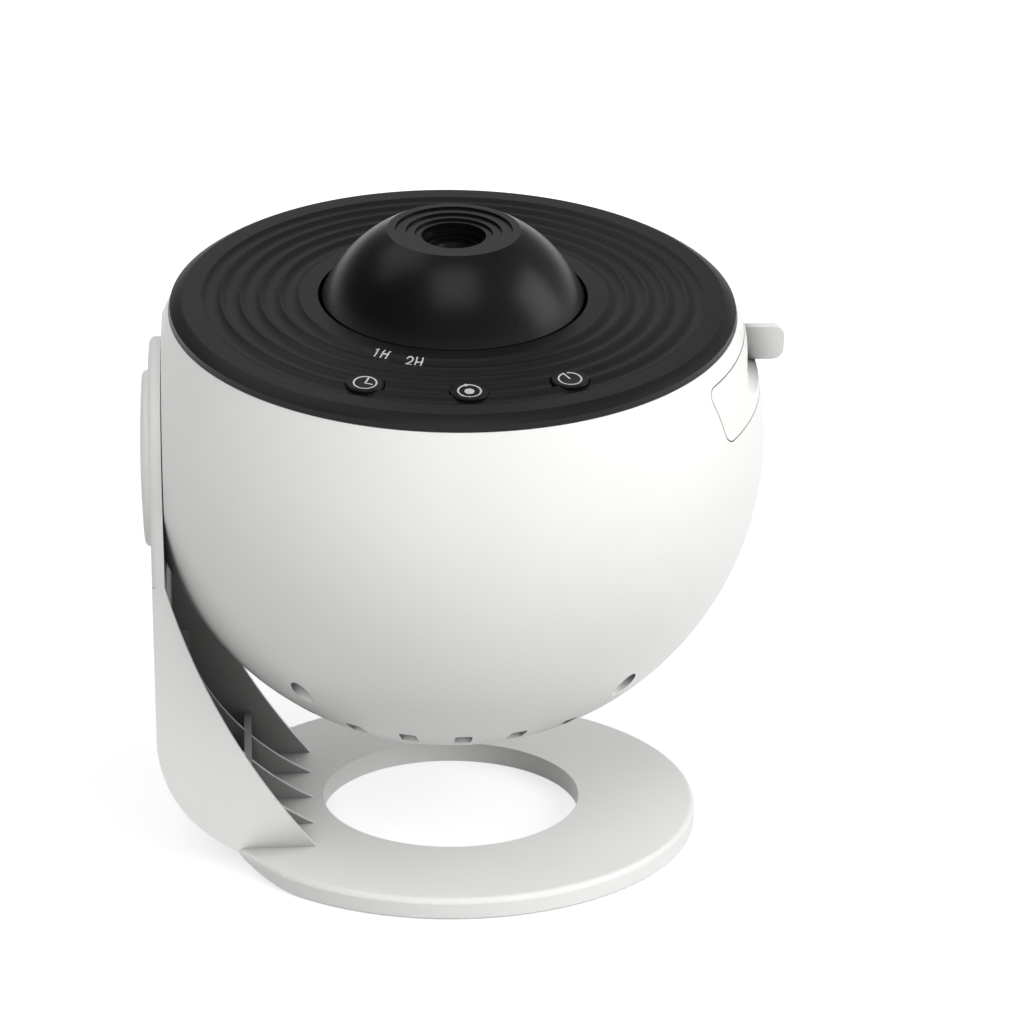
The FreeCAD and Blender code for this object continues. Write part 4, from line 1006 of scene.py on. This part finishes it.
@dataclass
class Studio:
    """Pale floor, soft lights and the camera."""

    axes: HeadAxes
    image_px: float = 1020.0
    centre_px: tuple[float, float] = (451.14, 432.35)
    scale_px_per_mm: float = 5.84
    distance_mm: float = 515.7
    azimuth_deg: float = 3.99
    elevation_deg: float = 17.06
    sensor_mm: float = 36.0
    nearest_m: float = 0.01
    ambient: float = 0.2
    ambient_lean: float = 0.17
    backdrop_top_deg: float = 8.0
    floor_half_m: float = 3.0
    floor_colour: str = "#BABABA"
    floor_lift: float = 0.68
    far_floor_lift: float = 0.9
    floor_lift_reach_m: tuple[float, float] = (0.2, 0.6)
    panels: tuple[Panel, ...] = (
        Panel("right_panel", 88.0, 29.0, 2.5),
        Panel("front_high_panel", 0.0, 63.0, 1.8),
        Panel("rear_panel", -175.0, 38.0, 0.4),
        Panel("high_left_panel", -118.0, 60.0, 1.1),
        Panel("right_fill_panel", 52.0, 24.0, 5.2, fill=True),
        Panel("front_left_fill_panel", -22.0, 35.0, 4.6, fill=True),
        Panel("rear_fill_panel", -165.0, 22.0, 2.2, fill=True),
    )

    def camera(self) -> None:
        """Stands the camera so that the ball's centre lands where it should in the frame."""
        azimuth, elevation = math.radians(self.azimuth_deg), math.radians(self.elevation_deg)
        look = Vector((math.sin(azimuth) * math.cos(elevation),
                       math.cos(azimuth) * math.cos(elevation), -math.sin(elevation)))
        right = Vector((math.cos(azimuth), -math.sin(azimuth), 0.0))
        up = right.cross(look)
        data = bpy.data.cameras.new("camera")
        data.sensor_width = self.sensor_mm
        data.lens = self.sensor_mm * self.scale_px_per_mm * self.distance_mm / self.image_px
        middle = self.image_px / 2
        data.shift_x = (middle - self.centre_px[0]) / self.image_px
        data.shift_y = -(middle - self.centre_px[1]) / self.image_px
        data.clip_start = self.nearest_m
        camera = bpy.data.objects.new("camera", data)
        turned = Matrix((right, up, -look)).transposed().to_4x4()
        turned.translation = Vector(self.axes.centre) - look * self.distance_mm * MM
        camera.matrix_world = turned
        bpy.context.scene.collection.objects.link(camera)
        bpy.context.scene.camera = camera

    def lights(self) -> None:
        """Hangs the panels and sets the surround.

        The surround lights evenly but for a lean towards the right: ambient + lean * x, where x is
        the direction's share to the right. The camera sees it white all round, and mirror-like
        surfaces see it white as far up as a backdrop would reach.
        """
        for panel in self.panels:
            panel.hang(self.axes.centre)
        world = bpy.data.worlds.new("studio")
        bpy.context.scene.world = world
        world.use_nodes = True
        tree = world.node_tree
        tree.nodes.clear()
        rays = add(tree, "ShaderNodeLightPath")
        toward = add(tree, "ShaderNodeSeparateXYZ",
                     {"Vector": add(tree, "ShaderNodeTexCoord").outputs["Generated"]})
        top = math.sin(math.radians(self.backdrop_top_deg))
        backdrop = add(tree, "ShaderNodeMapRange", {"Value": toward.outputs["Z"], "From Min": top,
                                                    "From Max": 2 * top, "To Min": 1.0,
                                                    "To Max": 0.0})
        shown = add(tree, "ShaderNodeMath", {0: mirrored_rays(tree, rays),
                                             1: backdrop.outputs["Result"],
                                             2: rays.outputs["Is Camera Ray"]},
                    operation="MULTIPLY_ADD")
        dim = add(tree, "ShaderNodeMath", {0: toward.outputs["X"], 1: self.ambient_lean,
                                           2: self.ambient}, operation="MULTIPLY_ADD")
        level = add(tree, "ShaderNodeMapRange", {"Value": shown.outputs["Value"],
                                                 "To Min": dim.outputs["Value"], "To Max": 1.0})
        even = add(tree, "ShaderNodeBackground", {"Color": (1.0, 1.0, 1.0, 1.0),
                                                  "Strength": level.outputs["Result"]})
        output = add(tree, "ShaderNodeOutputWorld")
        tree.links.new(even.outputs["Background"], output.inputs["Surface"])

    def floor(self) -> None:
        """Lays the pale floor: matt paper that keeps the object's shadow.

        For the camera and for mirrored and refracted rays it is lifted to the white of the
        background: a little near the object, and more from the near reach out to the far one.
        """
        half = self.floor_half_m
        mesh = bpy.data.meshes.new("floor")
        mesh.from_pydata([(-half, -half, 0), (half, -half, 0), (half, half, 0), (-half, half, 0)],
                         [], [(0, 1, 2, 3)])
        material, tree, output = fresh_material("matt_white_paper_floor")
        matt = add(tree, "ShaderNodeBsdfDiffuse", {"Color": linear(self.floor_colour)})
        rays = add(tree, "ShaderNodeLightPath")
        seen = add(tree, "ShaderNodeMath", {0: rays.outputs["Is Camera Ray"],
                                            1: mirrored_rays(tree, rays)}, operation="MAXIMUM")
        away = add(tree, "ShaderNodeVectorMath",
                   {0: add(tree, "ShaderNodeTexCoord").outputs["Object"]}, operation="LENGTH")
        near, far = self.floor_lift_reach_m
        share = add(tree, "ShaderNodeMapRange", {"Value": away.outputs["Value"], "From Min": near,
                                                 "From Max": far, "To Min": self.floor_lift,
                                                 "To Max": self.far_floor_lift})
        lift = add(tree, "ShaderNodeMath", {0: seen.outputs["Value"], 1: share.outputs["Result"]},
                   operation="MULTIPLY")
        glow = add(tree, "ShaderNodeEmission", {"Strength": lift.outputs["Value"]})
        both = add(tree, "ShaderNodeAddShader", {0: matt.outputs["BSDF"], 1: glow.outputs["Emission"]})
        tree.links.new(both.outputs["Shader"], output.inputs["Surface"])
        mesh.materials.append(material)
        floor = bpy.data.objects.new("floor", mesh)
        bpy.context.scene.collection.objects.link(floor)

    def build(self) -> None:
        """Sets the whole studio up."""
        self.camera()
        self.lights()
        self.floor()
        bpy.context.scene.view_settings.view_transform = "Standard"


def main() -> None:
    """Builds and dresses the projector and its studio."""
    logging.basicConfig(level=logging.INFO, format="%(message)s")
    axes = HeadAxes()
    Studio(axes).build()
    Stand().dress()
    Ball().dress()
    cover = Cover(axes)
    cover.dress()
    cover.build()
    for sign in Sign:
        button = Button(axes, sign)
        button.dress()
        button.build()
    Optics().dress()
    FilmDrive().dress()
    Electronics().dress()


if __name__ == "__main__":
    main()
